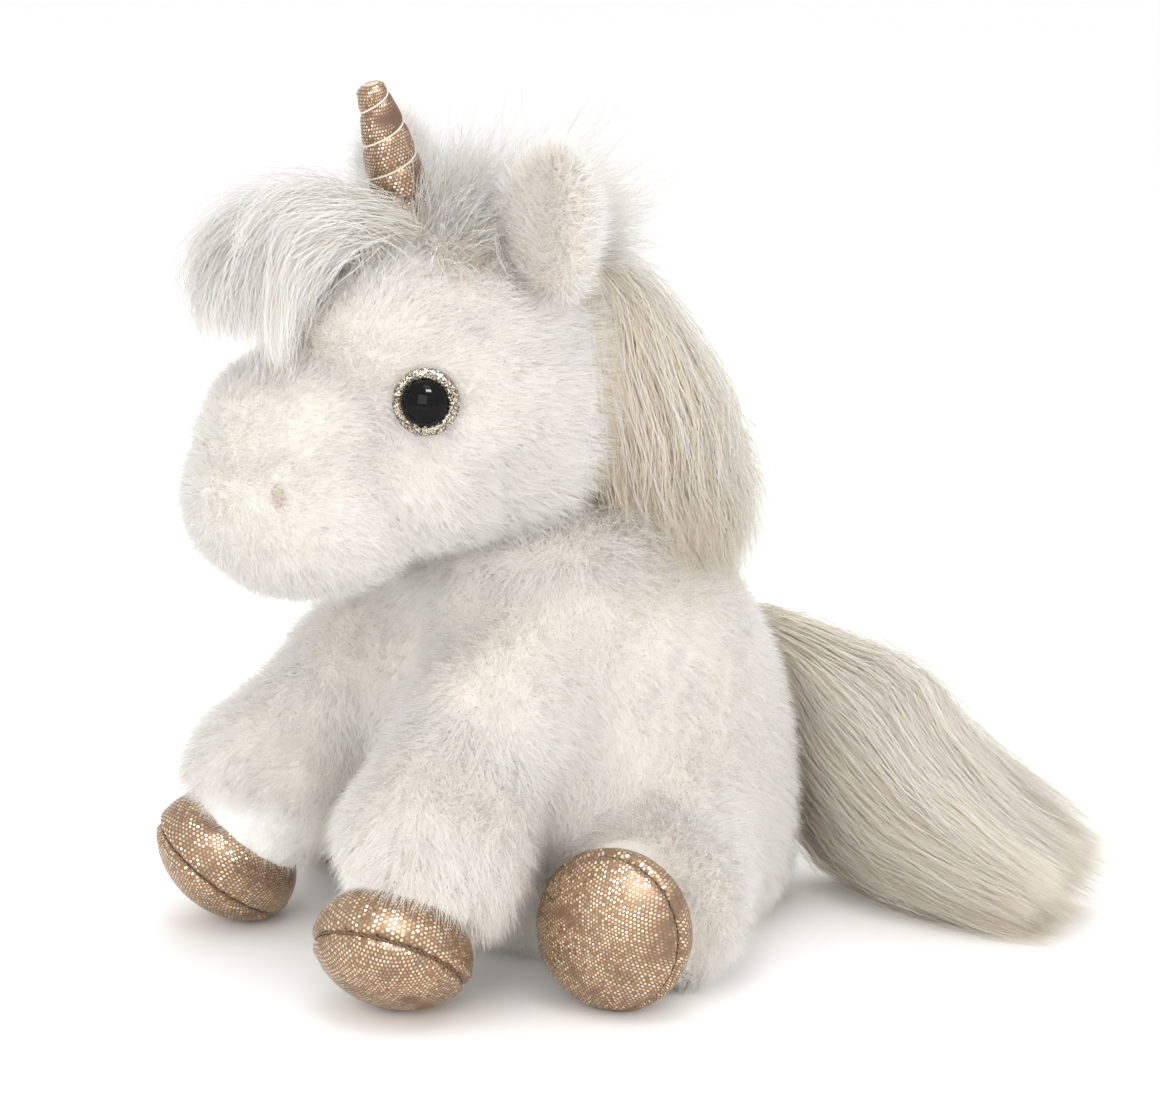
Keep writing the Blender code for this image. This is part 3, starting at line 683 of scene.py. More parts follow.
def pile(name, roots, normals, length, flow, seed, width=0.22 * MM, lean=0.55, wild=0.28,
         pull=0.20, tuft=0.12, tint=0.0, limits=()):
    """Short pile: strands that stand off the cloth, lean with the flow and gather into small tufts."""
    rng = np.random.default_rng(seed)
    count = len(roots)
    patch = waves(roots, 16 * MM, seed) * 0.12 + waves(roots, 6 * MM, seed + 1) * 0.08
    noise = rng.normal(size=(count, 3)) * wild
    length = (length * rng.uniform(0.70, 1.25, count))[:, None]
    first = unit(normals * (1 - lean * 0.55) + flow * lean * 0.55 + patch * 0.6 + noise)
    first = first + normals * np.maximum(0.25 - (first * normals).sum(1), 0)[:, None]
    second = unit(first * 0.7 + flow * lean + patch * 0.6 + noise * 0.4)
    middle = roots + unit(first) * length * 0.5
    tips = middle + second * length * 0.5
    tips = gather(roots, tips, tuft, pull, seed + 2)
    middle = middle + (tips - (middle + second * length * 0.5)) * 0.25
    path = np.stack([roots, middle, tips], axis=1)
    for limit in limits:
        path[:, 1:] = limit(path[:, 1:])
    path[:, :, 2] = np.maximum(path[:, :, 2], 0.3 * MM)
    shade = 0.62 + rng.normal(size=count) * 0.14 + waves(roots, 30 * MM, seed + 5)[:, 0] * 0.07
    shade = np.clip(shade, 0.05, 0.9)
    shade = shade * (1 - tint) + 0.985 * tint
    taper = (1.0, 0.75)
    return ribbons(name, path, width, normals, shade, PILE, taper, soften=0.85, roll=0.5, seed=seed + 3)


# ---- Torso ----


def torso_skin():
    bm = bmesh.new()
    rings = []
    for height, radius, centre_y in smooth_table(TORSO_LEVELS, 40):
        reach = radius - BACKING
        height = max(height, BACKING * 0.35)
        rings.append((Vector((0, centre_y, height)), Vector((reach, 0, 0)), Vector((0, reach, 0))))
    add_loft(bm, rings, 56)
    add_ellipsoid(bm, (0.0, -0.0140, 0.0990), (0.0385, 0.0375, 0.0220))
    for leg in LEGS.values():
        for i, row in enumerate(leg_path(leg)[6:22]):
            reach = row[3] - BACKING + 0.5 * MM - 1.3 * MM * max(0, i - leg["joined"])
            for turn in (Vector, mirrored):
                add_ellipsoid(bm, turn(row[:3]), (reach, reach, reach), 24)
    return skin_of(bm, "body_backing", VOXEL, 20, fill=11 * MM)


def hidden_in_legs(points, slack):
    hidden = np.zeros(len(points), bool)
    for leg in LEGS.values():
        ankle = leg["hoof"] - leg["sole"] * leg["ankle"][0]
        for turn in (lambda p: p, mirrored):
            hidden |= distance_to_segment(points, turn(leg["pivot"]), turn(ankle)) < leg["ball"] - slack
    return hidden


def build_torso():
    skin = torso_skin()
    skin.data.materials.append(BACKING_CLOTH)
    roots, normals = scatter(skin, PILE_PER_MM2["torso"], 11)
    keep = ~hidden_in_legs(roots, 6 * MM)
    keep &= ~(roots[:, 2] < 3.5 * MM)
    keep &= depth_in(roots, NECK_FORM, -4 * MM) > 1
    roots, normals = roots[keep], normals[keep]
    down = np.zeros(roots.shape)
    down[:, 2] = -1.0
    down += waves(roots, 40 * MM, 21) * 0.25
    down = along_skin(down, normals)
    length = np.interp(roots[:, 2], (0.0, 0.02, 0.06, 0.11), (5.5 * MM, 7.5 * MM, 7.5 * MM, 7.0 * MM))
    for side, sign in SIDES.items():
        mine = roots[:, 0] * sign > 0
        flow, seed = unit(down[mine]), 100 + int(sign)
        piece = pile(f"body_pile_{side}", roots[mine], normals[mine], length[mine], flow, seed)
        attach(piece, "torso")
    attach(skin, "torso")
    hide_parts("body_cover_left", "body_cover_right", "seat_panel")


def build_neck():
    bm = bmesh.new()
    add_ellipsoid(bm, NECK_FORM[0], [radius - BACKING for radius in NECK_FORM[1]])
    skin = object_from(bm, "neck_backing", BACKING_CLOTH)
    roots, normals = scatter(skin, PILE_PER_MM2["neck"], 12, in_fixed_order=True)
    keep = (roots[:, 2] > 0.095) & (roots[:, 2] < 0.124)
    roots, normals = roots[keep], normals[keep]
    down = np.tile([0.0, 0.0, -1.0], (len(roots), 1)) + waves(roots, 30 * MM, 22) * 0.3
    down = along_skin(down, normals)
    length = np.interp(roots[:, 1], (-0.045, -0.025), (9.0 * MM, 13.0 * MM))
    fur = pile("neck_pile", roots, normals, length, unit(down), 120, lean=0.4)
    for piece in (skin, fur):
        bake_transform(piece)
    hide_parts("neck_cover")


# ---- Head ----


def about_horn(points):
    """Each point's nearest place on the horn's axis, and the horn's radius there."""
    base, axis = np.array(HORN_BASE), np.array(HORN_TIP - HORN_BASE)
    share = np.clip((points - base) @ axis / (axis @ axis), 0, 1)[..., None]
    radius = np.interp(share, HORN_SHARES, HORN_RADII)
    return base + share * axis, radius


def off_horn(points):
    """Moves points inside the horn out to its surface."""
    centre, radius = about_horn(points)
    away = points - centre
    gap = np.linalg.norm(away, axis=-1, keepdims=True)
    radius = radius + 0.4 * MM
    return np.where(gap < radius, centre + away / np.maximum(gap, 1e-6) * radius, points)


def off_eyes(points):
    """Keeps strands off the glitter ring and the dome."""
    limit = 8.0 * MM
    for sign in SIDES.values():
        centre = on_side(EYE_CENTRE, sign)
        axis = on_side(EYE_NORMAL, sign)
        local = points - centre
        height = (local @ axis)[..., None]
        across = local - height * axis
        reach = np.linalg.norm(across, axis=-1, keepdims=True)
        near = (reach < limit) & (height > -6 * MM) & (height < 12 * MM)
        moved = centre + height * axis + across / np.maximum(reach, 1e-6) * limit
        points = np.where(near, moved, points)
    return points


def head_flow(roots, normals):
    """The lie of the head's pile: back from the nose and down the cheeks."""
    nose = np.array((0.0, -0.1180, 0.1330))
    away = unit(roots - nose)
    flow = away * 0.8 + np.array((0.0, 0.15, -0.55)) + waves(roots, 40 * MM, 23) * 0.2
    for sign in SIDES.values():
        offset = roots - on_side(EYE_CENTRE, sign)
        reach = np.linalg.norm(offset, axis=1, keepdims=True)
        flow += offset / reach * 1.6 * np.exp(-((reach / (13 * MM)) ** 2))
    return unit(along_skin(flow, normals))


def build_head():
    bm = bmesh.new()
    for centre, radii in HEAD_FORMS:
        add_ellipsoid(bm, centre, [radius - BACKING for radius in radii])
    skin = skin_of(bm, "head_backing", VOXEL, 10)
    skin.data.materials.append(BACKING_CLOTH)
    roots, normals = scatter(skin, PILE_PER_MM2["head"], 13)
    horn_axis, horn_radius = about_horn(roots)
    keep = np.linalg.norm(roots - horn_axis, axis=-1) > horn_radius[:, 0] + 0.5 * MM
    keep &= depth_in(roots, NECK_FORM, -6 * MM) > 1
    eye_gap = np.full(len(roots), 1.0)
    for sign in SIDES.values():
        offset = roots - on_side(EYE_CENTRE, sign)
        eye_gap = np.minimum(eye_gap, np.linalg.norm(offset, axis=1))
    keep &= eye_gap > 8.6 * MM
    roots, normals, eye_gap = roots[keep], normals[keep], eye_gap[keep]
    flow = head_flow(roots, normals)
    depth = roots[:, 1]
    length = np.interp(depth, (-0.12, -0.09, -0.05, -0.01), (5.0 * MM, 5.6 * MM, 6.8 * MM, 7.5 * MM))
    low = np.interp(roots[:, 2], (0.125, 0.150), (1.0, 0.0))
    throat = low * np.interp(depth, (-0.060, -0.035), (0.0, 1.0))
    length *= np.interp(eye_gap, (8 * MM, 15 * MM), (0.55, 1.0)) * (1 + throat)
    tint = np.zeros(len(roots))
    for sign in SIDES.values():
        offset = roots - on_side(NOSTRIL_CENTRE, sign)
        spot = np.linalg.norm(offset / (1, 1, 1.7), axis=1)
        tint = np.maximum(tint, np.interp(spot, (1.5 * MM, 4.0 * MM), (0.85, 0.0)))
        length *= np.interp(spot, (1.5 * MM, 5 * MM), (0.6, 1.0))
    rng = np.random.default_rng(77)
    tint = (rng.random(len(tint)) < tint).astype(float)
    muzzle = depth < -0.078
    groups = {
        "muzzle_pile": muzzle,
        "face_pile_left": ~muzzle & (roots[:, 0] > 0),
        "face_pile_right": ~muzzle & (roots[:, 0] <= 0),
    }
    for i, (name, mine) in enumerate(groups.items()):
        piece = pile(name, roots[mine], normals[mine], length[mine], flow[mine], 130 + 10 * i,
                     width=0.24 * MM, tint=tint[mine], limits=(off_eyes, off_horn))
        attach(piece, "head")
    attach(skin, "head")
    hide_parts("head_cover_left", "head_cover_right", "head_gusset", "chin_panel")


# ---- Ears ----


def ear_skin(side, sign):
    """A cupped leaf: its middle lies back from its rim, which opens forwards."""
    flip = Vector((sign, 1, 1))
    bm = bmesh.new()
    rows, columns = 18, 20
    rings = smooth_table(EAR_RINGS, rows)
    axis = EAR_TIP - EAR_BASE
    across = EAR_OPENING.cross(axis).normalized()
    front, back = [], []
    for share, width, thick in rings:
        centre = EAR_BASE + axis * share
        front_row, back_row = [], []
        for j in range(columns + 1):
            s = 2 * j / columns - 1
            cup = (s * s - 0.45) * 0.08 * width
            place = centre + across * (width - 1.0 * MM) * s + EAR_OPENING * cup
            swell = thick * math.sqrt(max(0.0, 1 - s * s)) + 0.2 * MM
            front_row.append(bm.verts.new((place + EAR_OPENING * swell) * flip))
            back_row.append(bm.verts.new((place - EAR_OPENING * swell) * flip))
        front.append(front_row)
        back.append(back_row)
    for grid in (front, back):
        bridge(bm, grid, closed=False)
    for j in (0, columns):
        for i in range(rows - 1):
            bm.faces.new((front[i][j], front[i + 1][j], back[i + 1][j], back[i][j]))
    for i in (0, rows - 1):
        bridge(bm, (front[i], back[i]), closed=False)
    return object_from(bm, f"ear_{side}_backing", LINING_CLOTH)


def build_ears():
    for side, sign in SIDES.items():
        skin = ear_skin(side, sign)
        flip = np.array((sign, 1, 1))
        roots, normals = scatter(skin, PILE_PER_MM2["ear"], 14)
        keep = depth_in(roots, HEAD_FORMS[0], -4 * MM) > 1
        roots, normals = roots[keep], normals[keep]
        opening = np.array(EAR_OPENING) * flip
        inner = (normals @ opening) > 0.45
        across = (roots - np.array(EAR_BASE) * flip) @ (np.cross(opening, (0, 0, 1)))
        flow = unit(np.array(EAR_TIP - EAR_BASE) * flip) + waves(roots, 15 * MM, 24) * 0.25
        rim = np.abs(across) / (14 * MM)
        sideways = np.cross(opening, (0, 0, 1)) * np.sign(across)[:, None]
        flow = flow + sideways * np.clip(rim, 0, 1)[:, None] ** 2 * 1.2
        flow = along_skin(flow, normals)
        length = np.where(inner, 6.5 * MM + 2.5 * MM * np.clip(rim, 0, 1) ** 2, 8.5 * MM)
        rng = np.random.default_rng(15)
        # Painted shade: a few strands inside the cup take the beige tint, more of them towards its middle
        # and none at the rim.
        tint = (inner & (rng.random(len(roots)) < 0.10 * (1 - np.clip(rim, 0, 1)))).astype(float)
        fur = pile(f"ear_{side}_pile", roots, normals, length, unit(flow), 160,
                   lean=0.5, wild=0.36, tint=tint)
        body = f"{side}_ear"
        for piece in (skin, fur):
            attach(piece, body)
        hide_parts(f"ear_back_{side}", f"ear_lining_{side}")


# ---- Legs and hooves ----


def leg_path(leg):
    """Stations (point, radius) of the backing from inside the torso to the cuff."""
    ankle_back, ankle_radius, end_radius = leg["ankle"]
    ankle = leg["hoof"] - leg["sole"] * ankle_back + Vector((leg["lean"], 0.0, 0.0))
    ball = leg["ball"]
    start = (ankle - leg["pivot"]).normalized()
    stations = []
    for degrees in (-80, -55, -30, 0):
        angle = math.radians(degrees)
        stations.append((*(leg["pivot"] + start * ball * math.sin(angle)), ball * math.cos(angle)))
    stations.append((*leg["pivot"].lerp(ankle, 0.62), (ball + ankle_radius) / 2))
    stations.append((*(ankle + leg["sole"] * 4 * MM), ankle_radius))
    close = leg["radii"][1]
    stations.append((*(leg["hoof"] - leg["sole"] * (close + 1.0 * MM)), end_radius - 2.0 * MM))
    stations.append((*(leg["hoof"] - leg["sole"] * (close - 3.0 * MM)), 5.0 * MM))
    return smooth_table(stations, 34)


def leg_skin(leg, name, sign):
    bm = bmesh.new()
    stations = leg_path(leg)
    points = [Vector(row[:3]) for row in stations]
    rings = []
    for i, (point, row) in enumerate(zip(points, stations)):
        tangent = (points[min(i + 1, len(points) - 1)] - points[max(i - 1, 0)]).normalized()
        side = (UP - tangent * tangent.z).normalized()
        share = i / (len(points) - 1)
        sink = 4.5 * MM * min(1.0, max(0.0, (0.62 - share) / 0.18))
        reach = max(row[3] - BACKING * (1 - 0.75 * share) - sink, 1.0 * MM)
        rings.append((point, side * reach, tangent.cross(side) * reach))
    add_loft(bm, rings, 44)
    if sign < 0:
        mirror_mesh(bm)
        bmesh.ops.reverse_faces(bm, faces=bm.faces)
    return skin_of(bm, name, VOXEL, 4)


def torso_radius(heights):
    table = np.array(TORSO_LEVELS)
    return np.interp(heights, table[:, 0], table[:, 1]), np.interp(heights, table[:, 0], table[:, 2])


def build_leg(end, leg, side, sign, seed):
    flip = Vector((sign, 1, 1))
    body = name = f"{end}_{side}_leg"
    skin = leg_skin(leg, f"{name}_backing", sign)
    skin.data.materials.append(BACKING_CLOTH)
    roots, normals = scatter(skin, PILE_PER_MM2["leg"], seed)
    hoof, sole, pivot = leg["hoof"] * flip, leg["sole"] * flip, leg["pivot"] * flip
    radius, middle = torso_radius(roots[:, 2])
    inside = np.hypot(roots[:, 0], roots[:, 1] - middle) < radius - 7 * MM
    keep = ~(inside & (roots[:, 2] < 0.098))
    across, deep = leg["radii"]
    keep &= (roots - np.array(hoof)) @ np.array(sole) < -deep + 3.5 * MM
    keep &= depth_in_turned(roots, hoof, (across, across, deep), sole) > 1
    roots, normals = roots[keep], normals[keep]
    ankle = hoof - sole * leg["ankle"][0]
    along = unit(np.array(ankle - pivot))
    share = np.clip((roots - np.array(pivot)) @ along / (ankle - pivot).length, 0, 1)[:, None]
    reach = (roots - np.array(hoof)) @ np.array(sole)
    cuff = np.interp(reach, (-0.034, -0.020), (0.0, 1.0))[:, None]
    normals = unit(normals - np.array(sole) * (normals @ np.array(sole))[:, None] * 0.85 * cuff)
    flow = along * (1 - share) + np.array(sole) * share + np.array((0, 0, -0.25))
    flow = flow + waves(roots, 30 * MM, 25) * 0.25
    flow = along_skin(flow, normals)
    length = np.interp(reach, (-0.040, -0.022), (7.0 * MM, 9.5 * MM))
    length *= 1 + 0.20 * np.clip(normals[:, 0] * sign, 0, 1) * np.clip(share[:, 0] * 2 - 0.6, 0, 1)
    lean, wild = 0.60 + 0.25 * cuff, 0.28 + 0.10 * cuff

    def off_hoof(points):
        return push_out_turned(points, hoof, (across, across, deep), sole, 0.5 * MM)

    fur = pile(f"{name}_pile", roots, normals, length, unit(flow), seed + 40,
               lean=lean, wild=wild, pull=0.36, tuft=0.07, limits=(off_hoof,))
    for piece in (skin, fur):
        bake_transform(piece)
    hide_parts(f"{name}_cover")


def hoof_rows(part):
    """The angles from the sole's pole of one hoof panel's rows, and how far each lies from the seam."""
    seam = math.acos(SOLE_SEAM)
    if part == "sole":
        angles = np.linspace(0.0, seam - 0.012, 26)
    else:
        angles = np.linspace(seam + 0.012, math.pi * 0.80, 40)
    return angles, np.abs(angles - seam)


def build_hoof_panel(end, leg, side, sign, part, seed):
    """One panel: an ellipsoid cap with a pinched, puckered edge, flattened a little where it rests."""
    across, deep = leg["radii"]
    hoof, sole = leg["hoof"], leg["sole"]
    turn = sole.to_track_quat("Z", "Y").to_matrix()
    angles, gaps = hoof_rows(part)
    segments = 120
    rng = np.random.default_rng(seed)
    phases = rng.uniform(0, 2 * math.pi, 4)
    around = np.arange(segments) * 2 * math.pi / segments
    pucker = sum(np.sin(k * around + p) for k, p in zip((23, 31, 41, 13), phases)) / 4
    bm = bmesh.new()
    layer = bm.loops.layers.uv.new("Foil")
    pole = sole
    if part == "upper":
        # The cloth's middle lies where the hoof is seen, so that its layout stretches least there.
        view = Vector((0.35, -0.75, 0.55)).normalized()
        pole = (view - sole * view.dot(sole) * 0.35).normalized()
    rows = []
    for angle, gap in zip(angles, gaps):
        row = []
        groove = 1.1 * MM * math.exp(-((gap / 0.055) ** 2))
        lip = 0.35 * MM * math.exp(-(((gap - 0.16) / 0.09) ** 2))
        fold = 0.30 * MM * math.exp(-((gap / 0.22) ** 1.5))
        for a, p in zip(around, pucker):
            out = np.array(direction(angle, a))
            swell = lip + fold * p - groove
            place = out * np.array((across, across, deep)) + out * swell
            row.append(bm.verts.new(hoof + turn @ Vector(place)))
        rows.append(row)
    for first, second in zip(rows, rows[1:]):
        for i in range(segments):
            j = (i + 1) % segments
            bm.faces.new((first[i], second[i], second[j], first[j]))
    bmesh.ops.remove_doubles(bm, verts=bm.verts, dist=1e-5)
    side_axis = pole.orthogonal().normalized()
    other_axis = pole.cross(side_axis)
    mean = (2 * across + deep) / 3
    for face in bm.faces:
        for loop in face.loops:
            out = (loop.vert.co - hoof).normalized()
            off = math.acos(max(-1.0, min(1.0, out.dot(pole))))
            flat = (out - pole * out.dot(pole)).normalized() * off * mean
            loop[layer].uv = (flat.dot(side_axis) + 0.5, flat.dot(other_axis) + 0.5)
    for vert in bm.verts:
        if vert.co.z < 0.4 * MM:
            vert.co.z = 0.4 * MM
    if sign < 0:
        mirror_mesh(bm)
    bmesh.ops.recalc_face_normals(bm, faces=bm.faces)
    obj = object_from(bm, f"{end}_{side}_hoof_{part}_foil", FOIL)
    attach(obj, f"{end}_{side}_leg")
    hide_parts(f"{end}_{side}_hoof_{part}")
    return obj


def build_hoof_stitches(end, leg, side, sign):
    """The dark thread lying in the seam, as a ring of short slanted stitches."""
    across, deep = leg["radii"]
    turn = leg["sole"].to_track_quat("Z", "Y").to_matrix()
    seam = math.acos(SOLE_SEAM)
    paths = []
    for i in range(STITCHES):
        path = []
        for j in range(4):
            a = (i + 0.82 * j / 3) * 2 * math.pi / STITCHES
            b = seam + (j / 3 - 0.5) * 0.03
            dip = 0.55 * MM + 0.25 * MM * abs(j / 1.5 - 1)
            out = Vector(direction(b, a))
            place = Vector((out.x * across, out.y * across, out.z * deep)) - out * dip
            place = leg["hoof"] + turn @ place
            path.append((place.x * sign, place.y, max(place.z, 0.5 * MM)))
        paths.append(path)
    obj = tube(f"{end}_{side}_hoof_stitching", paths, 0.22 * MM, SEAM_THREAD, 2)
    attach(obj, f"{end}_{side}_leg")


def build_legs():
    seed = 200
    for end, leg in LEGS.items():
        for side, sign in SIDES.items():
            build_leg(end, leg, side, sign, seed)
            for part in ("upper", "sole"):
                build_hoof_panel(end, leg, side, sign, part, seed + 5)
            build_hoof_stitches(end, leg, side, sign)
            seed += 100


# ---- Eyes and nostrils ----


def turned_profile(name, profile, place, material, segments):
    """The profile of (radius, height) turned about its axis. A radius of 0 closes it to a point."""
    bm = bmesh.new()
    rows = []
    for radius, height in profile:
        if radius < 1e-7:
            rows.append([bm.verts.new((0, 0, height))])
            continue
        angles = [2 * math.pi * i / segments for i in range(segments)]
        rows.append([bm.verts.new((radius * math.cos(a), radius * math.sin(a), height)) for a in angles])
    for first, second in zip(rows, rows[1:]):
        for i in range(segments):
            j = (i + 1) % segments
            corners = [first[i % len(first)], first[j % len(first)]]
            corners += [second[j % len(second)], second[i % len(second)]]
            bm.faces.new([v for k, v in enumerate(corners) if v not in corners[:k]])
    bmesh.ops.transform(bm, matrix=place, verts=bm.verts)
    return object_from(bm, name, material)


def build_eyes():
    for side, sign in SIDES.items():
        centre, normal = EYE_CENTRE * Vector((sign, 1, 1)), EYE_NORMAL * Vector((sign, 1, 1))
        place = Matrix.Translation(centre) @ normal.to_track_quat("Z", "Y").to_matrix().to_4x4()
        dome = [(0.0, -2.0 * MM), (5.9 * MM, -2.0 * MM)]
        for i in range(25):
            a = math.pi / 2 * i / 24
            dome.append((6.0 * MM * math.cos(a), 2.0 * MM + 4.2 * MM * math.sin(a)))
        dome[-1] = (0.0, dome[-1][1])
        eye = turned_profile(f"eye_dome_{side}", dome, place, EYE_BLACK, 72)
        rim = []
        for i in range(21):
            a = math.pi * i / 20
            height = 0.4 * MM + 1.30 * MM * math.sin(a) * (1.1 - 0.25 * i / 20)
            rim.append((7.3 * MM - 1.55 * MM * math.cos(a), height))
        rim += [(8.85 * MM, -0.8 * MM), (5.75 * MM, -0.8 * MM), rim[0]]
        ring = turned_profile(f"eye_glitter_{side}", rim, place, GLITTER, 96)
        for piece, node, slot in ((eye, "eye_button_", "eye_black"), (ring, "eye_ring_", "eye_glitter")):
            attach(piece, "head")
            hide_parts(node + side)


def build_nostrils():
    for side, sign in SIDES.items():
        flip = Vector((sign, 1, 1))
        normal = NOSTRIL_NORMAL * flip
        upward = (UP - normal * normal.z).normalized()
        across = normal.cross(upward)
        paths = []
        for i in range(7):
            s = (i / 6 - 0.5) * 2
            path = []
            for t in np.linspace(-1, 1, 7):
                reach = 3.3 * MM * math.sqrt(1 - 0.6 * s * s)
                place = NOSTRIL_CENTRE * flip + across * (s * 1.1 * MM + 0.2 * MM * t)
                path.append(place + upward * reach * t + normal * (0.8 * MM * (1 - t * t) - 1.9 * MM))
            paths.append(path)
        obj = tube(f"nostril_stitches_{side}", paths, 0.17 * MM, NOSE_THREAD)
        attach(obj, "head")
        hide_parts(f"nostril_stitch_{side}")


# ---- Horn ----


def build_horn():
    axis = HORN_TIP - HORN_BASE
    length = axis.length
    turn = axis.to_track_quat("Z", "Y").to_matrix()
    turns, first, last = 3.25, 0.24, 0.94
    bm = bmesh.new()
    layer = bm.loops.layers.uv.new("Foil")
    segments, rows = 96, 110
    grid = []
    spots = {}
    rng = np.random.default_rng(31)
    lump = rng.uniform(0, 2 * math.pi, 6)
    for i in range(rows + 1):
        t = i / rows
        share = -0.10 + 1.09 * t
        ring = []
        base = float(np.interp(share, HORN_SHARES, HORN_RADII))
        if share > 0.93:
            base = 4.0 * MM * math.sqrt(max(0.0, 1 - ((share - 0.93) / 0.07) ** 2)) + 0.15 * MM
        for j in range(segments):
            a = 2 * math.pi * j / segments
            spiral = (share - first) / (last - first) * turns - a / (2 * math.pi)
            gap = abs(spiral - round(spiral)) / turns * length * (last - first)
            held = 1.0 if first - 0.04 < share < last + 0.03 else 0.0
            groove = held * 0.55 * MM * math.exp(-((gap / (1.0 * MM)) ** 2))
            ripple = math.sin(3 * a + 9 * share + lump[0]) + math.sin(5 * a - 14 * share + lump[1])
            soft = 0.14 * MM * ripple
            reach = max(base - groove + soft * min(1.0, base / (4 * MM)), 0.05 * MM)
            place = Vector((reach * math.cos(a), reach * math.sin(a), share * length))
            vert = bm.verts.new(HORN_BASE + turn @ place)
            spots[vert] = (a, share)
            ring.append(vert)
        grid.append(ring)
    for number, face in enumerate(bridge(bm, grid)):
        last_column = number % segments == segments - 1
        for loop in face.loops:
            a, share = spots[loop.vert]
            if last_column and a == 0.0:
                a = 2 * math.pi
            loop[layer].uv = (a * HORN_FOIL_RADIUS + 0.5, share * length + 0.5)
    bm.faces.new(grid[-1])
    bm.faces.new(grid[0][::-1])
    horn = object_from(bm, "horn_foil", HORN_FOIL)
    path = []
    for i in range(261):
        t = i / 260
        share = first + (last - first) * t
        a = 2 * math.pi * turns * t
        reach = float(np.interp(share, HORN_SHARES, HORN_RADII)) - 0.36 * MM
        path.append(HORN_BASE + turn @ Vector((reach * math.cos(a), reach * math.sin(a), share * length)))
    thread = tube("horn_spiral_thread", [path], 0.27 * MM, HORN_THREAD)
    for piece, node, slot in ((horn, "horn_cover", "gold_foil_fabric"), (thread, "horn_thread", "thread")):
        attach(piece, "head")
        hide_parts(node)


# ---- Long hair ----

LOOSE_CURL = {"curl": 1.2 * MM, "bend": 2.6 * MM}


def strand_noise(path, wavelength, size, seed):
    """A smooth wander that grows from root to tip."""
    grow = (np.linspace(0, 1, path.shape[1]) ** 1.5)[None, :, None]
    return path + waves(path, wavelength, seed) * size * grow


def long_hair(name, path, normals, seed, width, tint, limits, pull, tuft, spread,
              wander=2.2 * MM, curl=0.5 * MM, bend=1.1 * MM, vary=0.13):
    """Long strands with their own curl and bend, that wander together and gather into tufts."""
    rng = np.random.default_rng(seed)
    count, steps = path.shape[:2]
    along = np.linspace(0, 1, steps)
    grow = along[None, :, None]
    path = strand_noise(path, 45 * MM, wander, seed + 1)
    path = strand_noise(path, 16 * MM, wander * 0.22, seed + 2)
    loose = np.where(rng.random((count, 1, 1)) < 0.07, 2.6, 1.0)
    path = path + rng.normal(size=(count, 1, 3)) * spread * loose * grow**2
    tips = gather(path[:, steps // 3], path[:, -1], tuft, pull, seed + 3)
    path = path + (tips - path[:, -1])[:, None, :] * grow**1.6
    path = path + rng.normal(size=(count, 1, 3)) * bend * np.sin(along * math.pi)[None, :, None]
    turns = rng.uniform(0.8, 2.0, (count, 1)) * along[None, :] + rng.random((count, 1))
    sway = unit(rng.normal(size=(count, 3)))[:, None, :] * np.sin(turns * 2 * math.pi)[:, :, None]
    path = path + sway * curl * np.minimum(1, grow * 3)
    for limit in limits:
        path[:, 1:] = limit(path[:, 1:])
    path[:, :, 2] = np.maximum(path[:, :, 2], 0.4 * MM)
    tint = np.clip(tint + rng.normal(size=count) * vary, 0.02, 0.98)
    near = (np.abs(path) < np.array(HAIR_REACH)).all(axis=(1, 2))
    path, normals, tint = path[near], normals[near], tint[near]
    taper = np.interp(along[:-1], (0, 0.15, 0.6, 1), (0.7, 1.0, 0.9, 0.35))
    return ribbons(name, path, width, normals, tint, HAIR, taper, soften=0.88, roll=0.8, seed=seed)


def off_head(points):
    for form in HEAD_FORMS:
        points = push_out(points, form, 1.0 * MM)
    return points


def off_torso(points):
    radius, middle = torso_radius(points[..., 2])
    centre = np.stack([np.zeros_like(middle), middle, points[..., 2]], axis=-1)
    away = points - centre
    gap = np.linalg.norm(away, axis=-1)
    reach = np.where(points[..., 2] > 0.1, 0.0, radius + 1.5 * MM)
    out = centre + away / np.maximum(gap, 1e-6)[..., None] * reach[..., None]
    return np.where((gap < reach)[..., None], out, points)


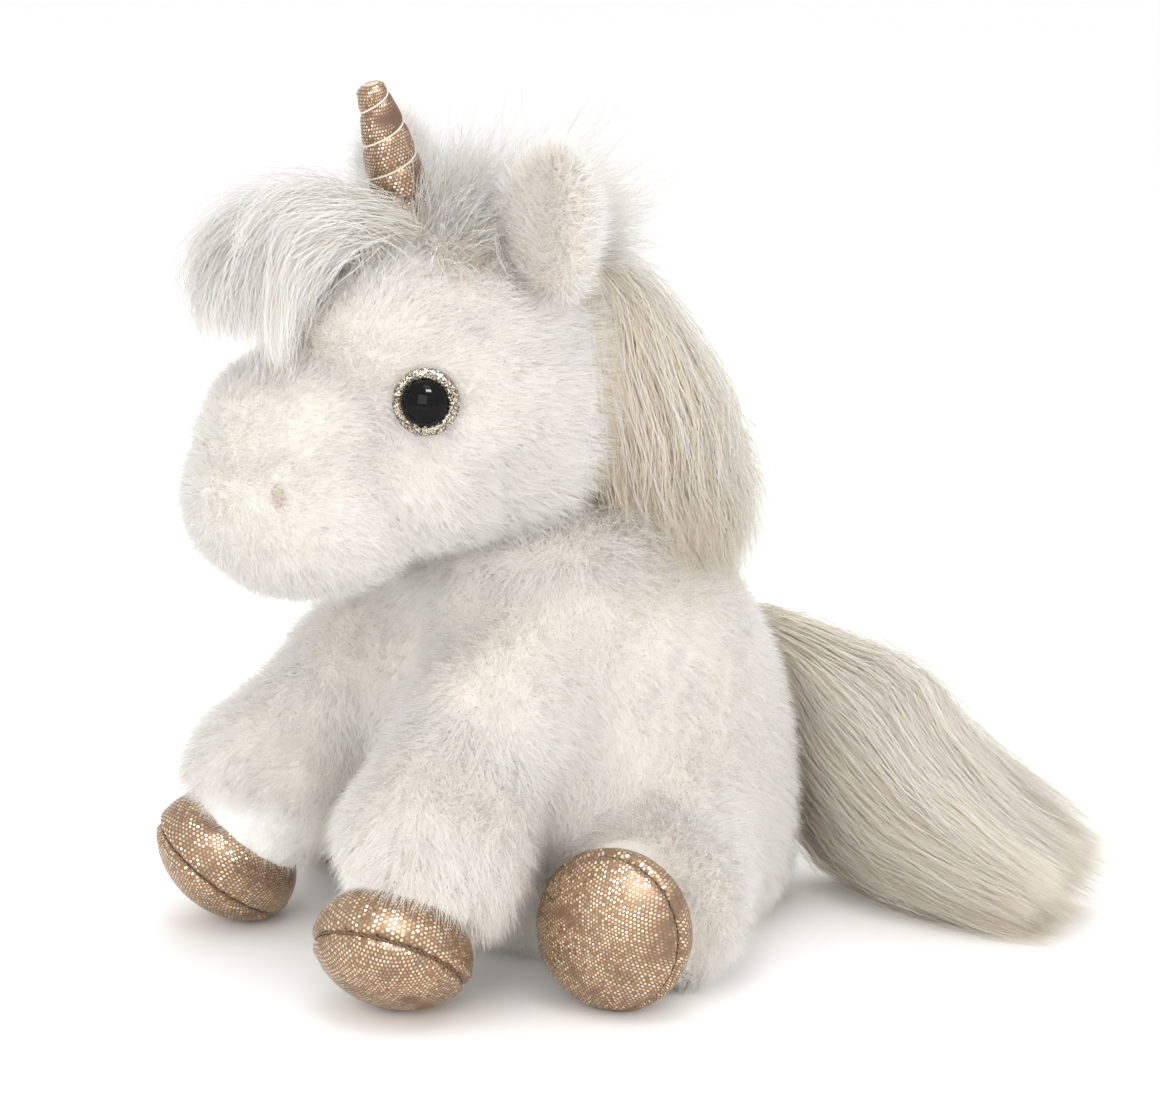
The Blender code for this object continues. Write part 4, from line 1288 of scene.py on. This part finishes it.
def build_mane():
    """Hair from the crown and the back of the head, hanging loosely down the neck."""
    levels = np.array(MANE_LEVELS)
    count, steps = 15000, 8
    for side, sign in SIDES.items():
        rng = np.random.default_rng(41 + int(sign))
        start = 0.209 - 0.052 * rng.random(count) ** 1.6
        stop = 0.096 + 0.024 * rng.random(count) ** 1.5
        spin = sign * np.radians(rng.uniform(-12, 118, count))
        share = rng.uniform(0.80, 1.06, count)
        t = np.linspace(0, 1, steps)[None, :]
        height = start[:, None] + (stop - start)[:, None] * t
        turn = spin[:, None] * (0.62 + 0.38 * np.minimum(1, t * 2.2))
        wide = np.interp(height, levels[:, 0], levels[:, 1]) * share[:, None]
        deep = np.interp(height, levels[:, 0], levels[:, 2]) * share[:, None]
        middle = np.interp(height, levels[:, 0], levels[:, 3])
        grow = np.minimum(1, 0.25 + t * 4)
        path = np.stack([wide * np.sin(turn) * grow, middle + deep * np.cos(turn) * grow, height], axis=2)
        crown = rng.random(count) < 0.30
        x = sign * rng.uniform(-2, 20, count) * MM
        y = rng.uniform(-0.034, -0.008, count)
        roots = np.stack([x, y, crown_height(x, y)], axis=1)[:, None, :]
        rise = np.array(UP) * (rng.uniform(4, 11, count) * MM)[:, None, None]
        blend = (np.minimum(1, t / 0.5) ** 1.2)[:, :, None]
        arch = np.sin(np.minimum(1, t / 0.5) * math.pi)[:, :, None] * 0.9
        over = (roots + rise * arch) * (1 - blend) + path * blend
        path = np.where(crown[:, None, None], over, path)
        normals = unit(np.stack([np.sin(spin), np.cos(spin), np.full(count, 0.25)], axis=1))
        inner = np.clip((np.abs(spin) - math.radians(55)) / math.radians(60), 0, 1)
        top = (start - 0.157) / 0.052
        # Painted shade: strands deeper in the mane are darker. Strands that wrap furthest forward towards
        # the face are also darker, and strands from higher up and from the crown are lighter.
        tint = 0.34 + 0.30 * (share - 0.80) / 0.26 + 0.20 * crown + 0.26 * top - 0.26 * inner
        hair = long_hair(f"mane_hair_{side}", path, normals, 410 + int(sign), tint=tint, width=0.19 * MM,
                         limits=(off_head, off_torso, off_ears), pull=0.30, tuft=0.03, spread=5.0 * MM,
                         wander=2.6 * MM, **LOOSE_CURL, vary=0.10)
        if side == "left":
            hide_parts("mane_hair_upper", "mane_hair_lower")
        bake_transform(hair)


def bundle(points, reference, count, steps, rng, lengths, edge=0.75):
    """Strands that run inside a lofted lock of (point, half width, half height) stations."""
    rows = smooth_table([(*p, w, h) for p, w, h in points], 40)
    centres = rows[:, :3]
    tangent = unit(np.gradient(centres, axis=0))
    side = unit(np.array(reference)[None] - tangent * (tangent @ np.array(reference))[:, None])
    up = np.cross(tangent, side)
    angle = rng.uniform(0, 2 * math.pi, count)
    radius = rng.random(count) ** 0.5
    radius = radius * (1 - edge) + edge * np.maximum(radius, rng.random(count))
    a, b = np.cos(angle) * radius, np.sin(angle) * radius
    t = np.linspace(0, 1, steps)[None, :] * lengths[:, None]
    grid = np.linspace(0, 1, 40)
    t = np.clip(t, 0, 1.12)

    def look(column):
        inner = np.interp(t, grid, column)
        slope = (column[-1] - column[-3]) / (grid[-1] - grid[-3])
        return inner + np.maximum(t - 1, 0) * slope

    path = np.stack([look(centres[:, k]) for k in range(3)], axis=2)
    for axis, share, size in ((side, a, rows[:, 3]), (up, b, rows[:, 4])):
        vector = np.stack([np.interp(t, grid, axis[:, k]) for k in range(3)], axis=2)
        path += vector * (np.interp(t, grid, size) * share[:, None])[:, :, None]
    middle = len(grid) // 2
    normals = unit(side[middle][None] * a[:, None] + up[middle][None] * b[:, None] + 1e-6)
    return path, normals, radius


def crown_height(x, y):
    """Height of the head's backing over the places (x, y)."""
    height = np.full(x.shape, 0.185)
    for (cx, cy, cz), (rx, ry, rz) in HEAD_FORMS[:2]:
        share = 1 - ((x - cx) / (rx - BACKING)) ** 2 - ((y - cy) / (ry - BACKING)) ** 2
        height = np.maximum(height, cz + (rz - BACKING) * np.sqrt(np.maximum(share, 0)))
    return height


def off_ears(points):
    """Keeps long hair out of the space that the ears fold through."""
    for sign in SIDES.values():
        flip = Vector((sign, 1, 1))
        base, tip = EAR_BASE * flip, EAR_TIP * flip
        middle, axis = (base + tip) / 2 + Vector((0.0, -1.5 * MM, 2 * MM)), (tip - base).normalized()
        points = push_out_turned(points, middle, (15.0 * MM, 9.0 * MM, 21 * MM), axis, 0.0)
    return points


def build_forelock():
    """White hair rooted all round the horn, which falls forwards in wisps."""
    rng = np.random.default_rng(51)
    count, steps = 7000, 10
    lengths = rng.uniform(0.40, 1.08, count)
    path, normals, radius = bundle(FORELOCK_POINTS, (1.0, 0.0, 0.0), count, steps, rng, lengths)
    x = path[:, 0, 0] * 0.6 + rng.normal(size=count) * 3.5 * MM
    y = rng.uniform(-0.078, -0.052, count)
    roots = np.stack([x, y, crown_height(x, y)], axis=1)
    t = np.linspace(0, 1, steps)[None, :]
    blend = (np.minimum(1, t / 0.45) ** 1.3)[:, :, None]
    rise = np.stack([x * 0.2, np.full(count, -4 * MM), rng.uniform(3, 9, count) * MM], axis=1)
    start = roots[:, None, :] + rise[:, None, :] * np.minimum(1, t / 0.3)[:, :, None]
    path[:, :, 0] *= 1 - 0.30 * t
    path[:, :, 1] += 4.0 * MM * t
    path[:, :, 2] -= 5.5 * MM * np.minimum(1, t / 0.4)
    path = start * (1 - blend) + path * blend
    normals = unit(normals + np.array((0, -0.5, 0.8)))
    # Painted shade: strands deeper in the lock are a little darker.
    hair = long_hair("forelock_strands", path, normals, 510, tint=0.84 + 0.05 * radius, width=0.16 * MM,
                     limits=(off_head, off_horn), pull=0.75, tuft=0.012, spread=4.5 * MM,
                     wander=3.8 * MM, **LOOSE_CURL, vary=0.08)
    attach(hair, "head")
    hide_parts("forelock_hair")


def build_poll_hair():
    """Loose hair between the horn and the ears, standing up and leaning back over the top of the mane."""
    rng = np.random.default_rng(55)
    count, steps = 13000, 9
    x = np.clip(rng.normal(size=count) * 11 * MM, -22 * MM, 22 * MM)
    y = rng.uniform(-0.058, -0.010, count)
    roots = np.stack([x, y, crown_height(x, y)], axis=1)
    back = np.interp(y, (-0.058, -0.040, -0.012), (0.15, 0.7, 1.1))
    outward = np.stack([x / (18 * MM), back, np.full(count, 0.2)], axis=1)
    outward = unit(outward + rng.normal(size=(count, 3)) * 0.35)
    length = rng.uniform(10, 24, count) * MM * np.interp(y, (-0.058, -0.03, -0.01), (0.8, 0.95, 1.6))
    t = np.linspace(0, 1, steps)[None, :, None]
    up = np.array(UP)
    lift = rng.uniform(0.35, 1.0, count)[:, None, None]
    roots, outward = roots[:, None, :], outward[:, None, :]
    path = roots + length[:, None, None] * (outward * t + up * (lift * t - 0.45 * t**2))
    stray = (rng.random(count) < 0.05)[:, None, None]
    tall = rng.uniform(13, 24, count)[:, None, None] * MM
    path = np.where(stray, roots + tall * t * (up + outward * 0.6 * t), path)
    hanging = rng.random(count) < 0.03
    side = np.sign(x)
    side_x, side_y = side * rng.uniform(17, 22, count) * MM, rng.uniform(-0.050, -0.041, count)
    side_roots = np.stack([side_x, side_y, crown_height(side_x, side_y)], axis=1)[:, None, :]
    fall = np.stack([side * 0.55, np.full(count, -0.25), np.full(count, -0.8)], axis=1)[:, None, :]
    drop = rng.uniform(9, 17, count)[:, None, None] * MM
    path = np.where(hanging[:, None, None], side_roots + drop * (fall * t + up * 0.5 * t), path)
    tint = np.where(hanging, 0.52, np.interp(rng.random(count), (0, 0.12, 1), (0.4, 0.88, 0.95)))
    normals = unit(np.stack([x * 30, np.full(count, -0.1), np.full(count, 1.0)], axis=1))
    hair = long_hair("poll_hair", path, normals, 550, tint=tint, width=0.18 * MM,
                     limits=(off_head, off_horn, off_ears), pull=0.3, tuft=0.06, spread=2.0 * MM)
    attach(hair, "head")


def build_tail():
    """Soft hair from under the back fur down to a ragged fringe that hangs from the tail's end."""
    rng = np.random.default_rng(61)
    count, steps = 30000, 8
    lengths = 0.74 + 0.32 * rng.random(count) ** 0.6
    path, normals, radius = bundle((TAIL_ROOT, *TAIL_POINTS), TAIL_SIDE, count, steps, rng, lengths)
    t = np.linspace(0, 1, steps)[None, :]
    fringe = waves(path[:, steps // 2], 9 * MM, 62)[:, 2:] * 5 * MM
    path[:, :, 2] -= t**3 * (fringe + rng.random(count)[:, None] ** 2 * 12 * MM)
    middle = path[:, steps // 2]
    # Painted shade: strands deep in the tail and low down are darker, and half of the strands near the
    # hollow are darker still. Longer strands are a little lighter.
    tint = 0.50 + 0.16 * radius + 0.08 * lengths + 0.10 * np.clip(middle[:, 2] / 0.05 - 0.6, -0.6, 0.6)
    near_shaded_hollow = np.linalg.norm(middle - np.array(TAIL_SHADED_HOLLOW), axis=1) < 11 * MM
    tint = tint - 0.30 * (near_shaded_hollow & (rng.random(count) < 0.5))
    upper = middle[:, 2] > np.median(middle[:, 2])
    halves = (("tail_strands_upper", upper, 610), ("tail_strands_lower", ~upper, 620))
    for name, mine, seed in halves:
        hair = long_hair(name, path[mine], normals[mine], seed, tint=tint[mine], width=0.20 * MM,
                         limits=(off_torso,), pull=0.75, tuft=0.008, spread=4.0 * MM,
                         wander=2.4 * MM, **LOOSE_CURL, vary=0.10)
        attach(hair, "tail")
        if name == "tail_strands_upper":
            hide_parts("tail_hair")


# ---- Inner parts kept from the CAD ----


def paint_inner_parts():
    for name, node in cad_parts.items():
        if node.hide_render:
            continue
        if name == "bean_bag":
            material = POUCH
        elif "washer" in name:
            material = WASHER
        else:
            material = FILLING
        node.data.materials.clear()
        node.data.materials.append(material)


# ---- Studio ----

CAMERA_TARGET = (0.008, -0.005, 0.105)
CAMERA_AZIMUTH, CAMERA_ELEVATION = 57, 14  # degrees
CAMERA_DISTANCE = 1.1
CAMERA_LENS = 124  # mm, for a sensor 36 mm wide
WARM_WHITE = (1.0, 0.97, 0.94)


def area_light(name, place, target, size, power, colour=(1.0, 1.0, 1.0), size_y=None):
    light = bpy.data.lights.new(name, "AREA")
    light.energy = power
    light.color = colour
    light.size = size
    if size_y:
        light.shape = "RECTANGLE"
        light.size_y = size_y
    obj = bpy.data.objects.new(name, light)
    obj.location = place
    obj.rotation_euler = (Vector(target) - Vector(place)).to_track_quat("-Z", "Y").to_euler()
    bpy.context.scene.collection.objects.link(obj)
    return obj


def build_studio():
    scene = bpy.context.scene
    world = bpy.data.worlds.new("studio")
    world.use_nodes = True
    background = world.node_tree.nodes["Background"]
    background.inputs["Color"].default_value = (1.0, 1.0, 1.0, 1.0)
    background.inputs["Strength"].default_value = 1.0
    scene.world = world
    n = Nodes("pale_floor")
    place = n.place()
    grain = n.noise(place, 4.0, 2.0)["Fac"]
    tone = n.mix(grain, (0.975, 0.975, 0.975), (0.985, 0.985, 0.985))
    floor_material = n.principled(tone, 0.9)
    bm = bmesh.new()
    bmesh.ops.create_grid(bm, x_segments=1, y_segments=1, size=6.0)
    floor = object_from(bm, "studio_floor", floor_material)
    target = Vector(CAMERA_TARGET)
    azimuth, elevation = math.radians(CAMERA_AZIMUTH), math.radians(CAMERA_ELEVATION)
    camera = bpy.data.cameras.new("camera")
    camera.lens = CAMERA_LENS
    camera.sensor_width = 36
    view = bpy.data.objects.new("camera", camera)
    level = math.cos(elevation)
    back = Vector((math.sin(azimuth) * level, -math.cos(azimuth) * level, math.sin(elevation)))
    view.location = target + back * CAMERA_DISTANCE
    view.rotation_euler = (-back).to_track_quat("-Z", "Y").to_euler()
    scene.collection.objects.link(view)
    scene.camera = view
    across = Vector((math.cos(azimuth), math.sin(azimuth), 0.0))
    area_light("key_softbox", target + back * 1.0 - across * 0.30 + UP * 0.12, target, 0.60, 3.0,
               (1.0, 0.975, 0.945), 0.60)
    area_light("top_softbox", target + UP * 1.15 + back * 0.30, target, 0.5, 2.2)
    for name, place, size, power in (
        ("right_fill", target + back * 0.85 + across * 0.90 - UP * 0.14, 0.7, 5.0),
        ("left_fill", target + back * 0.85 + across * -0.80 - UP * 0.14, 0.7, 1.7),
        ("rear_fill", target - back * 0.8 + UP * 0.75, 0.8, 3.5),
    ):
        fill = area_light(name, place, target, size, power, WARM_WHITE)
        fill.visible_glossy = False
    place = target + UP * 0.80 + back * 0.70 + across * 0.12
    catchlight = area_light("eye_catchlight", place, target, 0.40, 15.0, size_y=0.24)
    catchlight.visible_diffuse = False
    scene.view_settings.view_transform = "Standard"
    scene.view_settings.look = "None"
    scene.cycles.max_bounces = 12
    scene.cycles.diffuse_bounces = 9
    scene.cycles.transmission_bounces = 9


build_torso()
build_neck()
build_head()
build_ears()
build_legs()
build_eyes()
build_nostrils()
build_horn()
build_mane()
build_forelock()
build_poll_hair()
build_tail()
paint_inner_parts()
build_studio()
